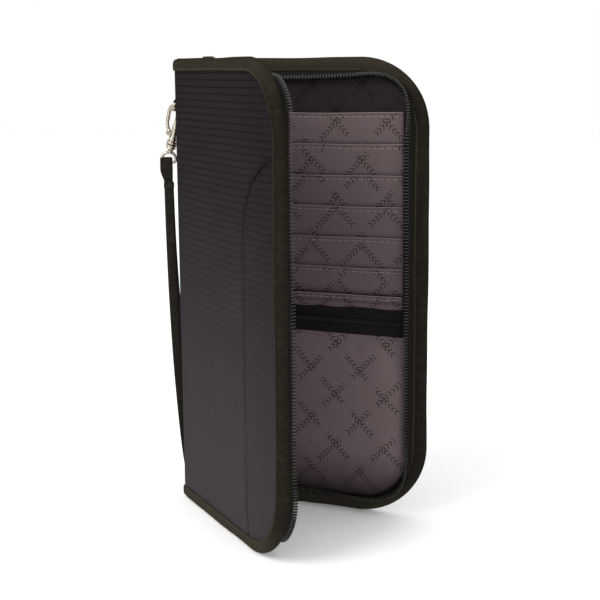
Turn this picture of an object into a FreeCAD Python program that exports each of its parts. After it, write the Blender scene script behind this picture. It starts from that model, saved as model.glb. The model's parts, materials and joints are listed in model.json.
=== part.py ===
"""Passport holder wallet: a zip-round travel wallet that stands on its bottom edge, part open.

Design frame: the back cover lies in the XZ plane. X runs from the spine to the free edge, Z is up,
and the inside of the back cover faces -Y. Every sub-part is drawn as in the closed wallet and is
then placed with the spine and the front cover turned open about their folds.
"""
import FreeCAD, Part
import math
import os

import Sketcher

Vector, Rotation, Placement = FreeCAD.Vector, FreeCAD.Rotation, FreeCAD.Placement
X, Y, Z = Vector(1, 0, 0), Vector(0, 1, 0), Vector(0, 0, 1)

doc = FreeCAD.newDocument("wallet")
sheet = doc.addObject("Spreadsheet::Sheet", "Sizes")

SIZES = [
    # covers: outline and layers, measured from the inner face outward
    ("cover_width", 122), ("cover_height", 235), ("top_radius", 36), ("bottom_radius", 38),
    ("closed_gap", 14), ("opening_angle", 40),
    ("inner_face", 0), ("lining_depth", 0.6), ("board_depth", 2.6), ("shell_depth", 3.6),
    # edge binding
    ("edge", 0), ("binding_wall", 0.7), ("binding_width", 7), ("binding_start", 0.6),
    # zip halves: insets from the outer edge and reach inward from the lining
    ("tape_outer", 7.2), ("tape_inner", 7.8), ("back_tape_reach", 5.4), ("back_zip_start", 1),
    ("front_tape_reach", 4.1), ("front_zip_start", 10), ("coil_outer", 6.4), ("coil_inner", 8.6),
    ("back_coil_reach", 6.9), ("front_coil_reach", 5.6),
    # folds between the covers and the spine
    ("fold_offset", 2.2), ("fold_radius", 1.9), ("fold_clearance", 2.0),
    # seam that splits the front shell
    ("seam_width", 81), ("seam_height", 150), ("seam_gap", 0.4),
    # card slots
    ("slot_left", 11), ("slot_length", 98), ("slot_top", 208), ("slot_pitch", 15.6),
    ("slot_last_step", 14), ("slot_height", 18), ("slot_thickness", 0.5), ("slot_tilt", 2.6),
    ("slot_foot", 0.15), ("slot_gap", 0.2),
    # zipped pocket and plain pocket
    ("band_low", 95), ("band_high", 109), ("band_middle", 101.5), ("band_slit", 2.2),
    ("band_thickness", 0.6), ("pocket_coil_radius", 0.93), ("pocket_coil_lift", 0.98),
    ("pocket_inset", 8.4), ("pocket_start", 11), ("pocket_thickness", 0.5), ("pocket_top", 94.8),
    ("passport_top", 122), ("passport_thickness", 0.6),
    # zip sliders and pulls
    ("slider_length", 8), ("slider_plate", 1.1), ("slider_width", 7.4), ("crown_height", 2.6),
    ("main_crown_height", 6), ("crown_width", 1.8), ("crown_wall", 1.2), ("crown_top", 1.1),
    ("pull_length", 22), ("pull_width", 5.4), ("pull_thickness", 1),
    ("pull_window", 2.6), ("window_length", 4.8), ("pocket_slider_start", 13),
    ("main_slider_start", 1.2), ("slider_gap", 0.3), ("plate_reach", 4.6), ("plate_nose", 1.8),
    ("web_length", 3), ("web_thickness", 0.9), ("web_nose", 1.2), ("web_overlap", 0.6),
    ("crown_inset", 0.5), ("crown_sink", 0.2), ("bar_gap", 0.8), ("bar_drop", 0.7), ("rail_width", 1.2),
    # hook tab, ring, snap hook and swivel eye
    ("tab_height", 17), ("tab_width", 7), ("tab_thickness", 1), ("tunnel_radius", 1.9),
    ("tunnel_length", 4.4), ("tunnel_bore", 1.0), ("tab_from_middle", 4.5), ("tab_centre_z", 212),
    ("tunnel_stand", 2.0), ("tunnel_above_foot", 12), ("through_hole", 16),
    ("ring_wire", 0.8), ("ring_radius", 3.6), ("ring_leg", 2.6), ("ring_droop", 35),
    ("hook_wire", 1.25), ("hook_shaft", 14.5), ("hook_radius", 3.4), ("hook_leg", 5.5),
    ("hook_tilt", 19), ("hook_rest", 15.8), ("base_radius", 2.2), ("base_height", 1.9),
    ("collar_radius", 2.9), ("collar_height", 1.5), ("stem_bore", 1.08), ("stem_bore_top", 1.8),
    ("cheek_reach", 4.2), ("cheek_low", 2), ("cheek_high", 4.8), ("cheek_inner", 1.5),
    ("cheek_outer", 2.3), ("root_reach", 1.2), ("root_height", 0.6),
    ("pivot_x", 2.9), ("pivot_z", 3.4), ("pivot_radius", 0.6), ("gate_side_gap", 0.2),
    ("gate_hub", 1.3), ("gate_bore", 0.7), ("gate_wire", 0.9), ("gate_length", 5.6),
    ("gate_angle", 53), ("stem_radius", 1.0), ("stem_top", 1.6), ("swivel_collar", 3.1),
    ("swivel_top", 1.8), ("swivel_bottom", 4.4), ("neck_radius", 1.6), ("eye_wire", 0.75),
    ("eye_radius", 3.7), ("eye_centre", 10.1), ("eye_leg", 1.5), ("eye_turn", 47),
    ("weld", 0.2), ("neck_weld", 0.4),
    # wrist strap: a flat webbing loop
    ("strap_width", 5.0), ("strap_thickness", 1.3), ("strap_lean", 3.2), ("head_inner", 1.3),
    ("head_length", 9.5), ("keeper_height", 3.5), ("keeper_width", 6.4), ("keeper_depth", 6.0),
    ("head_floor", 1),
    # place of the origin in the design frame
    ("origin_x", 48.65), ("origin_y", -46.094),
]
for row, (alias, value) in enumerate(SIZES, start=1):
    sheet.set("A%d" % row, alias)
    sheet.set("B%d" % row, str(value))
    sheet.setAlias("B%d" % row, alias)
doc.recompute()


def size(alias):
    """Value of one cell of the sheet, in millimetres or degrees."""
    return float(sheet.get(alias))


# ---------------------------------------------------------------- placements

back_fold = Vector(-size("fold_offset"), size("shell_depth") / 2, 0)
front_fold = Vector(-size("fold_offset"), -size("closed_gap") - size("shell_depth") / 2, 0)
half_opening = Rotation(Z, -size("opening_angle") / 2)


def turned(about, rotation):
    """Placement that turns the design frame about a point."""
    return Placement(Vector(), rotation, about)


TO_ORIGIN = Placement(Vector(-size("origin_x"), -size("origin_y"), 0), Rotation())
BACK = TO_ORIGIN
SPINE = TO_ORIGIN * turned(back_fold, half_opening)
FRONT = SPINE * turned(front_fold, half_opening)

spine_middle = (back_fold.y + front_fold.y) / 2
tab_point = Vector(-size("fold_offset") - size("shell_depth") / 2, spine_middle - size("tab_from_middle"),
                   size("tab_centre_z"))
# tab frame: X outward from the spine, Z up, origin on the spine's outer face
TAB = SPINE * Placement(tab_point, Rotation(Z, 180))
droop = Rotation(Y, size("ring_droop"))
RING = TAB * Placement(Vector(size("tunnel_stand"), 0, 0), droop)
ring_reach = size("ring_leg") + size("ring_radius")
ring_far = Vector(size("tunnel_stand"), 0, 0) + droop.multVec(Vector(ring_reach, 0, 0))
hook_turn = Rotation(Y, -size("hook_tilt"))
HOOK = TAB * Placement(
    ring_far - hook_turn.multVec(Vector(size("hook_radius"), 0, size("hook_rest"))), hook_turn)
SWIVEL = HOOK * Placement(Vector(), Rotation(Z, size("eye_turn")))
bar_point = SWIVEL.multVec(Vector(0, 0, -size("eye_centre") - size("eye_leg")))

parts = []


def keep(obj, label, placement):
    """Name a finished sub-part and put it where it belongs."""
    obj.Label = label
    obj.Placement = placement
    parts.append(obj)
    return obj


# ---------------------------------------------------------------- sketch helpers

def new_body(name):
    return doc.addObject("PartDesign::Body", name + "_body")


def plane_sketch(body, name, role, offset):
    """Sketch on one of the body's origin planes, moved along the plane's normal."""
    sketch = body.newObject("Sketcher::SketchObject", name)
    plane = next(f for f in body.Origin.OriginFeatures if f.Role == role)
    sketch.AttachmentSupport = [(plane, "")]
    sketch.MapMode = "FlatFace"
    sketch.setExpression("AttachmentOffset.Base.z", offset)
    return sketch


def drive(sketch, constraint, expression):
    """Add a dimension and bind it to the sheet."""
    index = sketch.addConstraint(constraint)
    sketch.setExpression("Constraints[%d]" % index, expression)


def add_outline(sketch, inset, start):
    """Bottom, free side and top of a cover at an inset, with its two round corners."""
    gap, left = size(inset), size(start)
    wide, high = size("cover_width"), size("cover_height")
    low_r, high_r = size("bottom_radius"), size("top_radius")
    low_centre = Vector(wide - low_r, low_r, 0)
    high_centre = Vector(wide - high_r, high - high_r, 0)
    first = sketch.addGeometry([
        Part.LineSegment(Vector(left, gap, 0), Vector(wide - low_r, gap, 0)),
        Part.ArcOfCircle(Part.Circle(low_centre, Z, low_r - gap), -math.pi / 2, 0),
        Part.LineSegment(Vector(wide - gap, low_r, 0), Vector(wide - gap, high - high_r, 0)),
        Part.ArcOfCircle(Part.Circle(high_centre, Z, high_r - gap), 0, math.pi / 2),
        Part.LineSegment(Vector(wide - high_r, high - gap, 0), Vector(left, high - gap, 0)),
    ], False)[0]
    low, low_arc, side, high_arc, top = range(first, first + 5)
    for before, after in ((low, low_arc), (low_arc, side), (side, high_arc), (high_arc, top)):
        sketch.addConstraint(Sketcher.Constraint("Tangent", before, 2, after, 1))
    sketch.addConstraint(Sketcher.Constraint("Horizontal", low))
    sketch.addConstraint(Sketcher.Constraint("Horizontal", top))
    sketch.addConstraint(Sketcher.Constraint("Vertical", side))
    drive(sketch, Sketcher.Constraint("DistanceX", -1, 1, low, 1, left), "Sizes.%s" % start)
    drive(sketch, Sketcher.Constraint("DistanceX", -1, 1, top, 2, left), "Sizes.%s" % start)
    drive(sketch, Sketcher.Constraint("DistanceY", -1, 1, low, 1, gap), "Sizes.%s" % inset)
    drive(sketch, Sketcher.Constraint("DistanceY", -1, 1, top, 2, high - gap),
          "Sizes.cover_height - Sizes.%s" % inset)
    drive(sketch, Sketcher.Constraint("DistanceX", -1, 1, side, 1, wide - gap),
          "Sizes.cover_width - Sizes.%s" % inset)
    drive(sketch, Sketcher.Constraint("Radius", low_arc, low_r - gap),
          "Sizes.bottom_radius - Sizes.%s" % inset)
    drive(sketch, Sketcher.Constraint("Radius", high_arc, high_r - gap),
          "Sizes.top_radius - Sizes.%s" % inset)
    return low, top


def join(sketch, one, one_end, other, other_end):
    """Straight line between the ends of two elements."""
    begin, end = sketch.getPoint(one, one_end), sketch.getPoint(other, other_end)
    line = sketch.addGeometry(Part.LineSegment(begin, end), False)
    sketch.addConstraint(Sketcher.Constraint("Coincident", line, 1, one, one_end))
    sketch.addConstraint(Sketcher.Constraint("Coincident", line, 2, other, other_end))


def draw_slab(inset, start):
    """Drawer of a full cover outline."""
    def draw(sketch):
        low, top = add_outline(sketch, inset, start)
        join(sketch, top, 2, low, 1)
    return draw


def draw_band(outer, inner, start):
    """Drawer of a band that follows the three free sides between two insets."""
    def draw(sketch):
        outer_low, outer_top = add_outline(sketch, outer, start)
        inner_low, inner_top = add_outline(sketch, inner, start)
        join(sketch, outer_top, 2, inner_top, 2)
        join(sketch, inner_low, 1, outer_low, 1)
    return draw


def draw_side_panel(sketch):
    """Front shell to the right of the curved seam."""
    left = size("seam_width") + size("seam_gap") / 2
    wall, low_r = size("binding_wall"), size("bottom_radius")
    right = size("cover_width") - wall
    seam_high = size("seam_height")
    seam_radius = right - left
    first = sketch.addGeometry([
        Part.LineSegment(Vector(left, wall, 0), Vector(right + wall - low_r, wall, 0)),
        Part.ArcOfCircle(Part.Circle(Vector(right + wall - low_r, low_r, 0), Z, low_r - wall),
                         -math.pi / 2, 0),
        Part.LineSegment(Vector(right, low_r, 0), Vector(right, seam_high + seam_radius, 0)),
        Part.ArcOfCircle(Part.Circle(Vector(right, seam_high, 0), Z, seam_radius),
                         math.pi / 2, math.pi),
        Part.LineSegment(Vector(left, seam_high, 0), Vector(left, wall, 0)),
    ], False)[0]
    low, corner, side, seam, fold = range(first, first + 5)
    sketch.addConstraint(Sketcher.Constraint("Tangent", low, 2, corner, 1))
    sketch.addConstraint(Sketcher.Constraint("Tangent", corner, 2, side, 1))
    sketch.addConstraint(Sketcher.Constraint("Coincident", side, 2, seam, 1))
    sketch.addConstraint(Sketcher.Constraint("Tangent", seam, 2, fold, 1))
    sketch.addConstraint(Sketcher.Constraint("Coincident", fold, 2, low, 1))
    sketch.addConstraint(Sketcher.Constraint("Horizontal", low))
    sketch.addConstraint(Sketcher.Constraint("Vertical", side))
    sketch.addConstraint(Sketcher.Constraint("Vertical", fold))
    drive(sketch, Sketcher.Constraint("DistanceX", -1, 1, low, 1, left),
          "Sizes.seam_width + Sizes.seam_gap / 2")
    drive(sketch, Sketcher.Constraint("DistanceY", -1, 1, low, 1, wall), "Sizes.binding_wall")
    drive(sketch, Sketcher.Constraint("DistanceX", -1, 1, side, 1, right),
          "Sizes.cover_width - Sizes.binding_wall")
    drive(sketch, Sketcher.Constraint("Radius", corner, low_r - wall),
          "Sizes.bottom_radius - Sizes.binding_wall")
    drive(sketch, Sketcher.Constraint("DistanceY", -1, 1, fold, 1, seam_high), "Sizes.seam_height")
    drive(sketch, Sketcher.Constraint("DistanceX", -1, 1, seam, 3, right),
          "Sizes.cover_width - Sizes.binding_wall")


def draw_box(left, low, wide, high):
    """Drawer of a rectangle given by four expressions."""
    def draw(sketch):
        corners = [Vector(0, 0, 0), Vector(10, 0, 0), Vector(10, 10, 0), Vector(0, 10, 0)]
        sides = [Part.LineSegment(corners[n], corners[(n + 1) % 4]) for n in range(4)]
        first = sketch.addGeometry(sides, False)[0]
        for n in range(4):
            sketch.addConstraint(Sketcher.Constraint("Coincident", first + n, 2,
                                                     first + (n + 1) % 4, 1))
            sketch.addConstraint(Sketcher.Constraint("Horizontal" if n % 2 == 0 else "Vertical",
                                                     first + n))
        drive(sketch, Sketcher.Constraint("DistanceX", -1, 1, first, 1, 1), left)
        drive(sketch, Sketcher.Constraint("DistanceY", -1, 1, first, 1, 1), low)
        drive(sketch, Sketcher.Constraint("DistanceX", first, 1, first, 2, 10), wide)
        drive(sketch, Sketcher.Constraint("DistanceY", first + 1, 1, first + 1, 2, 10), high)
    return draw


def draw_seam_disc(sketch):
    """Disc whose rim is the curved part of the seam."""
    right = size("cover_width") - size("binding_wall")
    radius = right - size("seam_width") + size("seam_gap") / 2
    disc = sketch.addGeometry(Part.Circle(Vector(right, size("seam_height"), 0), Z, radius), False)
    drive(sketch, Sketcher.Constraint("DistanceX", -1, 1, disc, 3, right),
          "Sizes.cover_width - Sizes.binding_wall")
    drive(sketch, Sketcher.Constraint("DistanceY", -1, 1, disc, 3, size("seam_height")),
          "Sizes.seam_height")
    drive(sketch, Sketcher.Constraint("Radius", disc, radius),
          "Sizes.cover_width - Sizes.binding_wall - Sizes.seam_width + Sizes.seam_gap / 2")


def layer_start(side, inner, outer):
    """Where a cover's layer starts along the plane's normal, which is -Y."""
    return "-(%s)" % outer if side == "back" else "Sizes.closed_gap + (%s)" % inner


def add_layer(body, name, side, inner, outer, draw, feature="PartDesign::Pad"):
    """Pad or pocket between two depths of a cover."""
    sketch = plane_sketch(body, name + "_sketch", "XZ_Plane", layer_start(side, inner, outer))
    draw(sketch)
    sketch.Visibility = False
    result = body.newObject(feature, name + "_layer")
    result.Profile = sketch
    result.setExpression("Length", "(%s) - (%s)" % (outer, inner))
    if feature == "PartDesign::Pocket":
        result.Reversed = True
    return result


def cover_part(label, side, inner, outer, draw, cuts=()):
    """One layer of a cover, with optional pockets, as a body of its own."""
    body = new_body(label)
    add_layer(body, label, side, inner, outer, draw)
    doc.recompute()
    for number, (cut_inner, cut_outer, cut_draw) in enumerate(cuts):
        before = body.Shape.Volume
        add_layer(body, "%s_cut%d" % (label, number), side, cut_inner, cut_outer, cut_draw,
                  "PartDesign::Pocket")
        doc.recompute()
        assert body.Shape.Volume < before - 0.1, label + ": a pocket removes nothing"
    return keep(body, label, BACK if side == "back" else FRONT)


# ---------------------------------------------------------------- primitive helpers

def made(kind, name, placement=None, **sizes):
    """Part primitive whose sizes are expressions in the sheet."""
    obj = doc.addObject(kind, name)
    for prop, expression in sizes.items():
        obj.setExpression(prop, expression)
    if placement is not None:
        obj.Placement = placement
    return obj


def at(x, y, z, rotation=None):
    return Placement(Vector(x, y, z), rotation or Rotation())


def fused(name, pieces):
    result = doc.addObject("Part::MultiFuse", name)
    result.Shapes = pieces
    return result


def cut(name, base, tool):
    result = doc.addObject("Part::Cut", name)
    result.Base, result.Tool = base, tool
    return result


ALONG_X, ALONG_Y = Rotation(Y, 90), Rotation(X, -90)

# ---------------------------------------------------------------- covers

WALL = "Sizes.binding_wall"
for side in ("back", "front"):
    cover_part(side + "_board", side, "Sizes.lining_depth", "Sizes.board_depth",
               draw_slab("binding_wall", "edge"))
    cover_part(side + "_lining", side, "Sizes.inner_face", "Sizes.lining_depth",
               draw_slab("binding_wall", "edge"))
    cover_part(side + "_binding", side, "-" + WALL, "Sizes.shell_depth + " + WALL,
               draw_band("edge", "binding_width", "binding_start"),
               [("Sizes.inner_face", "Sizes.shell_depth", draw_slab("binding_wall", "edge"))])
    cover_part(side + "_zip_tape", side, "-Sizes.%s_tape_reach" % side, "Sizes.inner_face",
               draw_band("tape_outer", "tape_inner", side + "_zip_start"))
    cover_part(side + "_zip_coil", side, "-Sizes.%s_coil_reach" % side,
               "-Sizes.%s_tape_reach" % side,
               draw_band("coil_outer", "coil_inner", side + "_zip_start"))

cover_part("back_outer_panel", "back", "Sizes.board_depth", "Sizes.shell_depth",
           draw_slab("binding_wall", "edge"))
seam_left = "Sizes.seam_width - Sizes.seam_gap / 2"
cover_part("front_main_panel", "front", "Sizes.board_depth", "Sizes.shell_depth",
           draw_slab("binding_wall", "edge"),
           [("Sizes.board_depth", "Sizes.shell_depth",
             draw_box(seam_left, "-1", "Sizes.cover_width", "Sizes.seam_height + 1")),
            ("Sizes.board_depth", "Sizes.shell_depth", draw_seam_disc)])
cover_part("front_side_panel", "front", "Sizes.board_depth", "Sizes.shell_depth", draw_side_panel)

# ---------------------------------------------------------------- inside of the back cover

slot_tilt = Rotation(X, size("slot_tilt"))
for number in range(1, 8):
    top = size("slot_top") - (number - 1) * size("slot_pitch")
    tall = "Sizes.slot_height"
    if number == 6:
        tall = "Sizes.slot_last_step - Sizes.slot_gap"
    if number == 7:
        top = size("slot_top") - 5 * size("slot_pitch") - size("slot_last_step")
        tall = ("Sizes.slot_top - 5 * Sizes.slot_pitch - Sizes.slot_last_step - Sizes.band_high"
                " - Sizes.slot_gap")
    slot = made("Part::Box", "slot_%d" % number, Length="Sizes.slot_length",
                Width="Sizes.slot_thickness", Height=tall)
    doc.recompute()
    foot = top - float(slot.Height) * math.cos(math.radians(size("slot_tilt")))
    lift = size("slot_foot") + size("slot_thickness")
    keep(slot, "card_slot_%d" % number, BACK * at(size("slot_left"), -lift, foot, slot_tilt))

for label, low, high in (
        ("pocket_zip_tape_upper", "Sizes.band_middle + Sizes.band_slit / 2", "Sizes.band_high"),
        ("pocket_zip_tape_lower", "Sizes.band_low", "Sizes.band_middle - Sizes.band_slit / 2")):
    tape = made("Part::Box", label + "_strip", Length="Sizes.slot_length",
                Width="Sizes.band_thickness", Height="(%s) - (%s)" % (high, low))
    low_z = size("band_low") if "lower" in label else size("band_middle") + size("band_slit") / 2
    keep(tape, label, BACK * at(size("slot_left"), -size("band_thickness"), low_z))
coil = made("Part::Cylinder", "pocket_coil", Radius="Sizes.pocket_coil_radius",
            Height="Sizes.slot_length")
keep(coil, "pocket_zip_coil",
     BACK * at(size("slot_left"), -size("pocket_coil_lift"), size("band_middle"), ALONG_X))

above = ("-1", "Sizes.pocket_top", "Sizes.cover_width + 2", "Sizes.cover_height")
cover_part("lower_pocket_panel", "back", "-Sizes.pocket_thickness", "Sizes.inner_face",
           draw_slab("pocket_inset", "pocket_start"),
           [("-Sizes.pocket_thickness", "Sizes.inner_face", draw_box(*above))])
above = ("-1", "Sizes.passport_top", "Sizes.cover_width + 2", "Sizes.cover_height")
cover_part("passport_pocket", "front", "-Sizes.passport_thickness", "Sizes.inner_face",
           draw_slab("pocket_inset", "pocket_start"),
           [("-Sizes.passport_thickness", "Sizes.inner_face", draw_box(*above))])

# ---------------------------------------------------------------- spine

spine_end = front_fold.y + size("fold_clearance")
spine_wide = "Sizes.closed_gap + Sizes.shell_depth - 2 * Sizes.fold_clearance"
spine_outer = -size("fold_offset") - size("shell_depth") / 2
for label, outer_depth, inner_depth in (
        ("spine_lining", "Sizes.lining_depth", "Sizes.inner_face"),
        ("spine_board", "Sizes.board_depth", "Sizes.lining_depth"),
        ("spine_panel", "Sizes.shell_depth", "Sizes.board_depth")):
    strip = made("Part::Box", label + "_strip", Length="%s - %s" % (outer_depth, inner_depth),
                 Width=spine_wide, Height="Sizes.cover_height - 2 * Sizes.binding_wall")
    from_outer = size("shell_depth") - size(outer_depth.split(".")[1])
    keep(strip, label, SPINE * at(spine_outer + from_outer, spine_end, size("binding_wall")))

for label, low in (("spine_binding_top", size("cover_height") - size("binding_width")),
                   ("spine_binding_bottom", 0)):
    strip = made("Part::Box", label + "_strip", at(-size("binding_wall"), 0, 0),
                 Length="Sizes.shell_depth + 2 * Sizes.binding_wall", Width=spine_wide,
                 Height="Sizes.binding_width")
    core_low = 0 if low else size("binding_wall")
    core = made("Part::Box", label + "_core", at(0, 0, core_low), Length="Sizes.shell_depth",
                Width=spine_wide, Height="Sizes.binding_width - Sizes.binding_wall")
    keep(cut(label + "_cut", strip, core), label, SPINE * at(spine_outer, spine_end, low))

for label, fold in (("spine_fold_back", back_fold), ("spine_fold_front", front_fold)):
    roll = made("Part::Cylinder", label + "_roll", Radius="Sizes.fold_radius",
                Height="Sizes.cover_height")
    keep(roll, label, SPINE * at(fold.x, fold.y, 0))

# ---------------------------------------------------------------- zip sliders and pulls

PLATE = "Sizes.slider_plate"
slider_half = size("slider_width") / 2
crown_half = size("crown_width") / 2


def crown(name, height):
    """Arch over a slider's plate, along its length, standing on z = 0."""
    outer = made("Part::Box", name + "_arch", at(0, -crown_half, -size("crown_sink")),
                 Length="Sizes.slider_length - 2 * Sizes.crown_inset", Width="Sizes.crown_width",
                 Height="%s + Sizes.crown_sink" % height)
    inner = made("Part::Box", name + "_eye", at(size("crown_wall"), -2 * crown_half, 0),
                 Length="Sizes.slider_length - 2 * Sizes.crown_inset - 2 * Sizes.crown_wall",
                 Width="2 * Sizes.crown_width", Height="%s - Sizes.crown_top" % height)
    return cut(name + "_crown", outer, inner)


def pull(name):
    """Flat pull: a round bar in the crown's eye, a window and a tab, along +X from the bar."""
    thick = size("pull_thickness")
    half_width = size("pull_width") / 2
    bar = made("Part::Cylinder", name + "_bar", at(0, -half_width, 0, ALONG_Y),
               Radius="Sizes.pull_thickness / 2", Height="Sizes.pull_width")
    plate = made("Part::Box", name + "_plate", at(0, -half_width, -thick / 2),
                 Length="Sizes.pull_length - Sizes.pull_thickness / 2", Width="Sizes.pull_width",
                 Height="Sizes.pull_thickness")
    tab = fused(name + "_tab", [bar, plate])
    window = made("Part::Box", name + "_window", at(thick / 2, -size("pull_window") / 2, -thick),
                  Length="Sizes.window_length", Width="Sizes.pull_window",
                  Height="2 * Sizes.pull_thickness")
    return cut(name + "_pull", tab, window)


# main slider: outer and inner plates either side of the back coil, a web at the coil's tip
coil_low = size("cover_height") - size("coil_inner")
coil_high = size("cover_height") - size("coil_outer")
coil_tip = -size("back_coil_reach")
plate_y = coil_tip - size("plate_nose")
outer_plate_z = coil_high + size("slider_gap")
inner_plate_z = coil_low - size("slider_gap") - size("slider_plate")
main_pieces = [
    made("Part::Box", "main_outer_plate", at(0, plate_y, outer_plate_z),
         Length="Sizes.slider_length", Width="Sizes.plate_reach", Height=PLATE),
    made("Part::Box", "main_inner_plate", at(0, plate_y, inner_plate_z),
         Length="Sizes.slider_length", Width="Sizes.plate_reach", Height=PLATE),
    made("Part::Box", "main_web", at(0, coil_tip - size("web_nose"), coil_low - size("web_overlap")),
         Length="Sizes.web_length", Width="Sizes.web_thickness",
         Height="Sizes.coil_inner - Sizes.coil_outer + 2 * Sizes.web_overlap"),
]
main_crown = crown("main", "Sizes.main_crown_height")
crown_foot = outer_plate_z + size("slider_plate")
crown_y = coil_tip + size("crown_inset")
main_crown.Placement = at(size("crown_inset"), crown_y, crown_foot)
keep(fused("main_slider_solid", main_pieces + [main_crown]), "main_zip_slider",
     BACK * at(size("main_slider_start"), 0, 0))
bar_x = size("slider_length") - size("crown_inset") - size("crown_wall") - size("bar_gap")
bar_drop = size("crown_top") + size("bar_drop")
main_eye = Vector(size("main_slider_start") + bar_x, crown_y,
                  crown_foot + size("main_crown_height") - bar_drop)
keep(pull("main"), "main_zip_pull", BACK * Placement(main_eye, Rotation()))

# pocket slider: its plate lies over the pocket coil, with a rail on each side
pocket_plate = size("pocket_coil_lift") + size("pocket_coil_radius") + size("slider_gap")
TO_POCKET = BACK * Placement(Vector(size("pocket_slider_start"), 0, size("band_middle")),
                             Rotation(X, 90))
pocket_pieces = [
    made("Part::Box", "pocket_plate", at(0, -slider_half, pocket_plate),
         Length="Sizes.slider_length", Width="Sizes.slider_width", Height=PLATE)]
rail_low = size("band_thickness") + size("slider_gap")
far_rail = slider_half - size("rail_width")
for name, rail_y in (("pocket_rail_low", -slider_half), ("pocket_rail_high", far_rail)):
    pocket_pieces.append(made("Part::Box", name, at(0, rail_y, rail_low),
                              Length="Sizes.slider_length", Width="Sizes.rail_width",
                              Height="%s + Sizes.weld" % (pocket_plate - rail_low)))
pocket_crown = crown("pocket", "Sizes.crown_height")
pocket_crown.Placement = at(size("crown_inset"), 0, pocket_plate + size("slider_plate"))
keep(fused("pocket_slider_solid", pocket_pieces + [pocket_crown]), "pocket_zip_slider", TO_POCKET)
pocket_eye = Vector(bar_x, 0, pocket_plate + size("slider_plate") + size("crown_height") - bar_drop)
keep(pull("pocket"), "pocket_zip_pull", TO_POCKET * Placement(pocket_eye, Rotation()))

# ---------------------------------------------------------------- tab, ring, hook and swivel

tab_patch = made("Part::Box", "tab_patch",
                 at(0, -size("tab_width") / 2, -size("tunnel_above_foot")),
                 Length="Sizes.tab_thickness", Width="Sizes.tab_width", Height="Sizes.tab_height")
tunnel = made("Part::Cylinder", "tab_tunnel",
              at(size("tunnel_stand"), -size("tunnel_length") / 2, 0, ALONG_Y),
              Radius="Sizes.tunnel_radius", Height="Sizes.tunnel_length")
half_hole = size("through_hole") / 2
tunnel_bore = made("Part::Cylinder", "tab_bore", at(size("tunnel_stand"), -half_hole, 0, ALONG_Y),
                   Radius="Sizes.tunnel_bore", Height="Sizes.through_hole")
keep(cut("tab_solid", fused("tab_blank", [tab_patch, tunnel]), tunnel_bore), "strap_tab", TAB)

ring_r = size("ring_radius")
ring_pieces = [
    made("Part::Cylinder", "ring_bar", at(0, -ring_r, 0, ALONG_Y), Radius="Sizes.ring_wire",
         Height="2 * Sizes.ring_radius"),
    made("Part::Torus", "ring_bow", at(size("ring_leg"), 0, 0, Rotation(Z, -90)),
         Radius1="Sizes.ring_radius", Radius2="Sizes.ring_wire", Angle3="180")]
for name, leg_y in (("ring_leg_low", -ring_r), ("ring_leg_high", ring_r)):
    ring_pieces.append(made("Part::Cylinder", name, at(0, leg_y, 0, ALONG_X),
                            Radius="Sizes.ring_wire", Height="Sizes.ring_leg"))
    ring_pieces.append(made("Part::Sphere", name + "_corner", at(0, leg_y, 0),
                            Radius="Sizes.ring_wire"))
keep(fused("ring_solid", ring_pieces), "hook_ring", RING)

shaft, hook_r = size("hook_shaft"), size("hook_radius")
cheek_high = "Sizes.cheek_high - Sizes.cheek_low"
hook_pieces = [
    made("Part::Cylinder", "hook_stem", Radius="Sizes.hook_wire", Height="Sizes.hook_shaft"),
    made("Part::Torus", "hook_bow", at(hook_r, 0, shaft, Rotation(X, 90)),
         Radius1="Sizes.hook_radius", Radius2="Sizes.hook_wire", Angle3="180"),
    made("Part::Cylinder", "hook_tip", at(2 * hook_r, 0, shaft - size("hook_leg")),
         Radius="Sizes.hook_wire", Height="Sizes.hook_leg"),
    made("Part::Cylinder", "hook_base", Radius="Sizes.base_radius", Height="Sizes.base_height"),
    made("Part::Cylinder", "hook_collar", at(0, 0, -size("collar_height")),
         Radius="Sizes.collar_radius", Height="Sizes.collar_height"),
    made("Part::Box", "cheek_near", at(0, -size("cheek_outer"), size("cheek_low")),
         Length="Sizes.cheek_reach", Width="Sizes.cheek_outer - Sizes.cheek_inner",
         Height=cheek_high),
    made("Part::Box", "cheek_far", at(0, size("cheek_inner"), size("cheek_low")),
         Length="Sizes.cheek_reach", Width="Sizes.cheek_outer - Sizes.cheek_inner",
         Height=cheek_high),
    made("Part::Cylinder", "gate_pin",
         at(size("pivot_x"), -size("cheek_outer"), size("pivot_z"), ALONG_Y),
         Radius="Sizes.pivot_radius", Height="2 * Sizes.cheek_outer"),
    made("Part::Box", "cheek_root", at(0, -size("cheek_outer"), size("cheek_low")),
         Length="Sizes.root_reach", Width="2 * Sizes.cheek_outer", Height="Sizes.root_height"),
]
stem_bore = made("Part::Cylinder", "stem_bore_hole", at(0, 0, -2 * size("collar_height")),
                 Radius="Sizes.stem_bore",
                 Height="2 * Sizes.collar_height + Sizes.stem_bore_top")
keep(cut("hook_solid", fused("hook_blank", hook_pieces), stem_bore), "snap_hook", HOOK)

gate_turn = Rotation(Y, 90 - size("gate_angle"))
hub_half = size("cheek_inner") - size("gate_side_gap")
gate_hub = made("Part::Cylinder", "gate_hub_disc", at(0, -hub_half, 0, ALONG_Y),
                Radius="Sizes.gate_hub", Height="2 * (Sizes.cheek_inner - Sizes.gate_side_gap)")
gate_bar = made("Part::Cylinder", "gate_bar", at(0, 0, 0, gate_turn), Radius="Sizes.gate_wire",
                Height="Sizes.gate_length")
gate_hole = made("Part::Cylinder", "gate_hole", at(0, -half_hole, 0, ALONG_Y),
                 Radius="Sizes.gate_bore", Height="Sizes.through_hole")
keep(cut("gate_solid", fused("gate_blank", [gate_hub, gate_bar]), gate_hole), "hook_gate",
     HOOK * at(size("pivot_x"), 0, size("pivot_z")))

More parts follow.
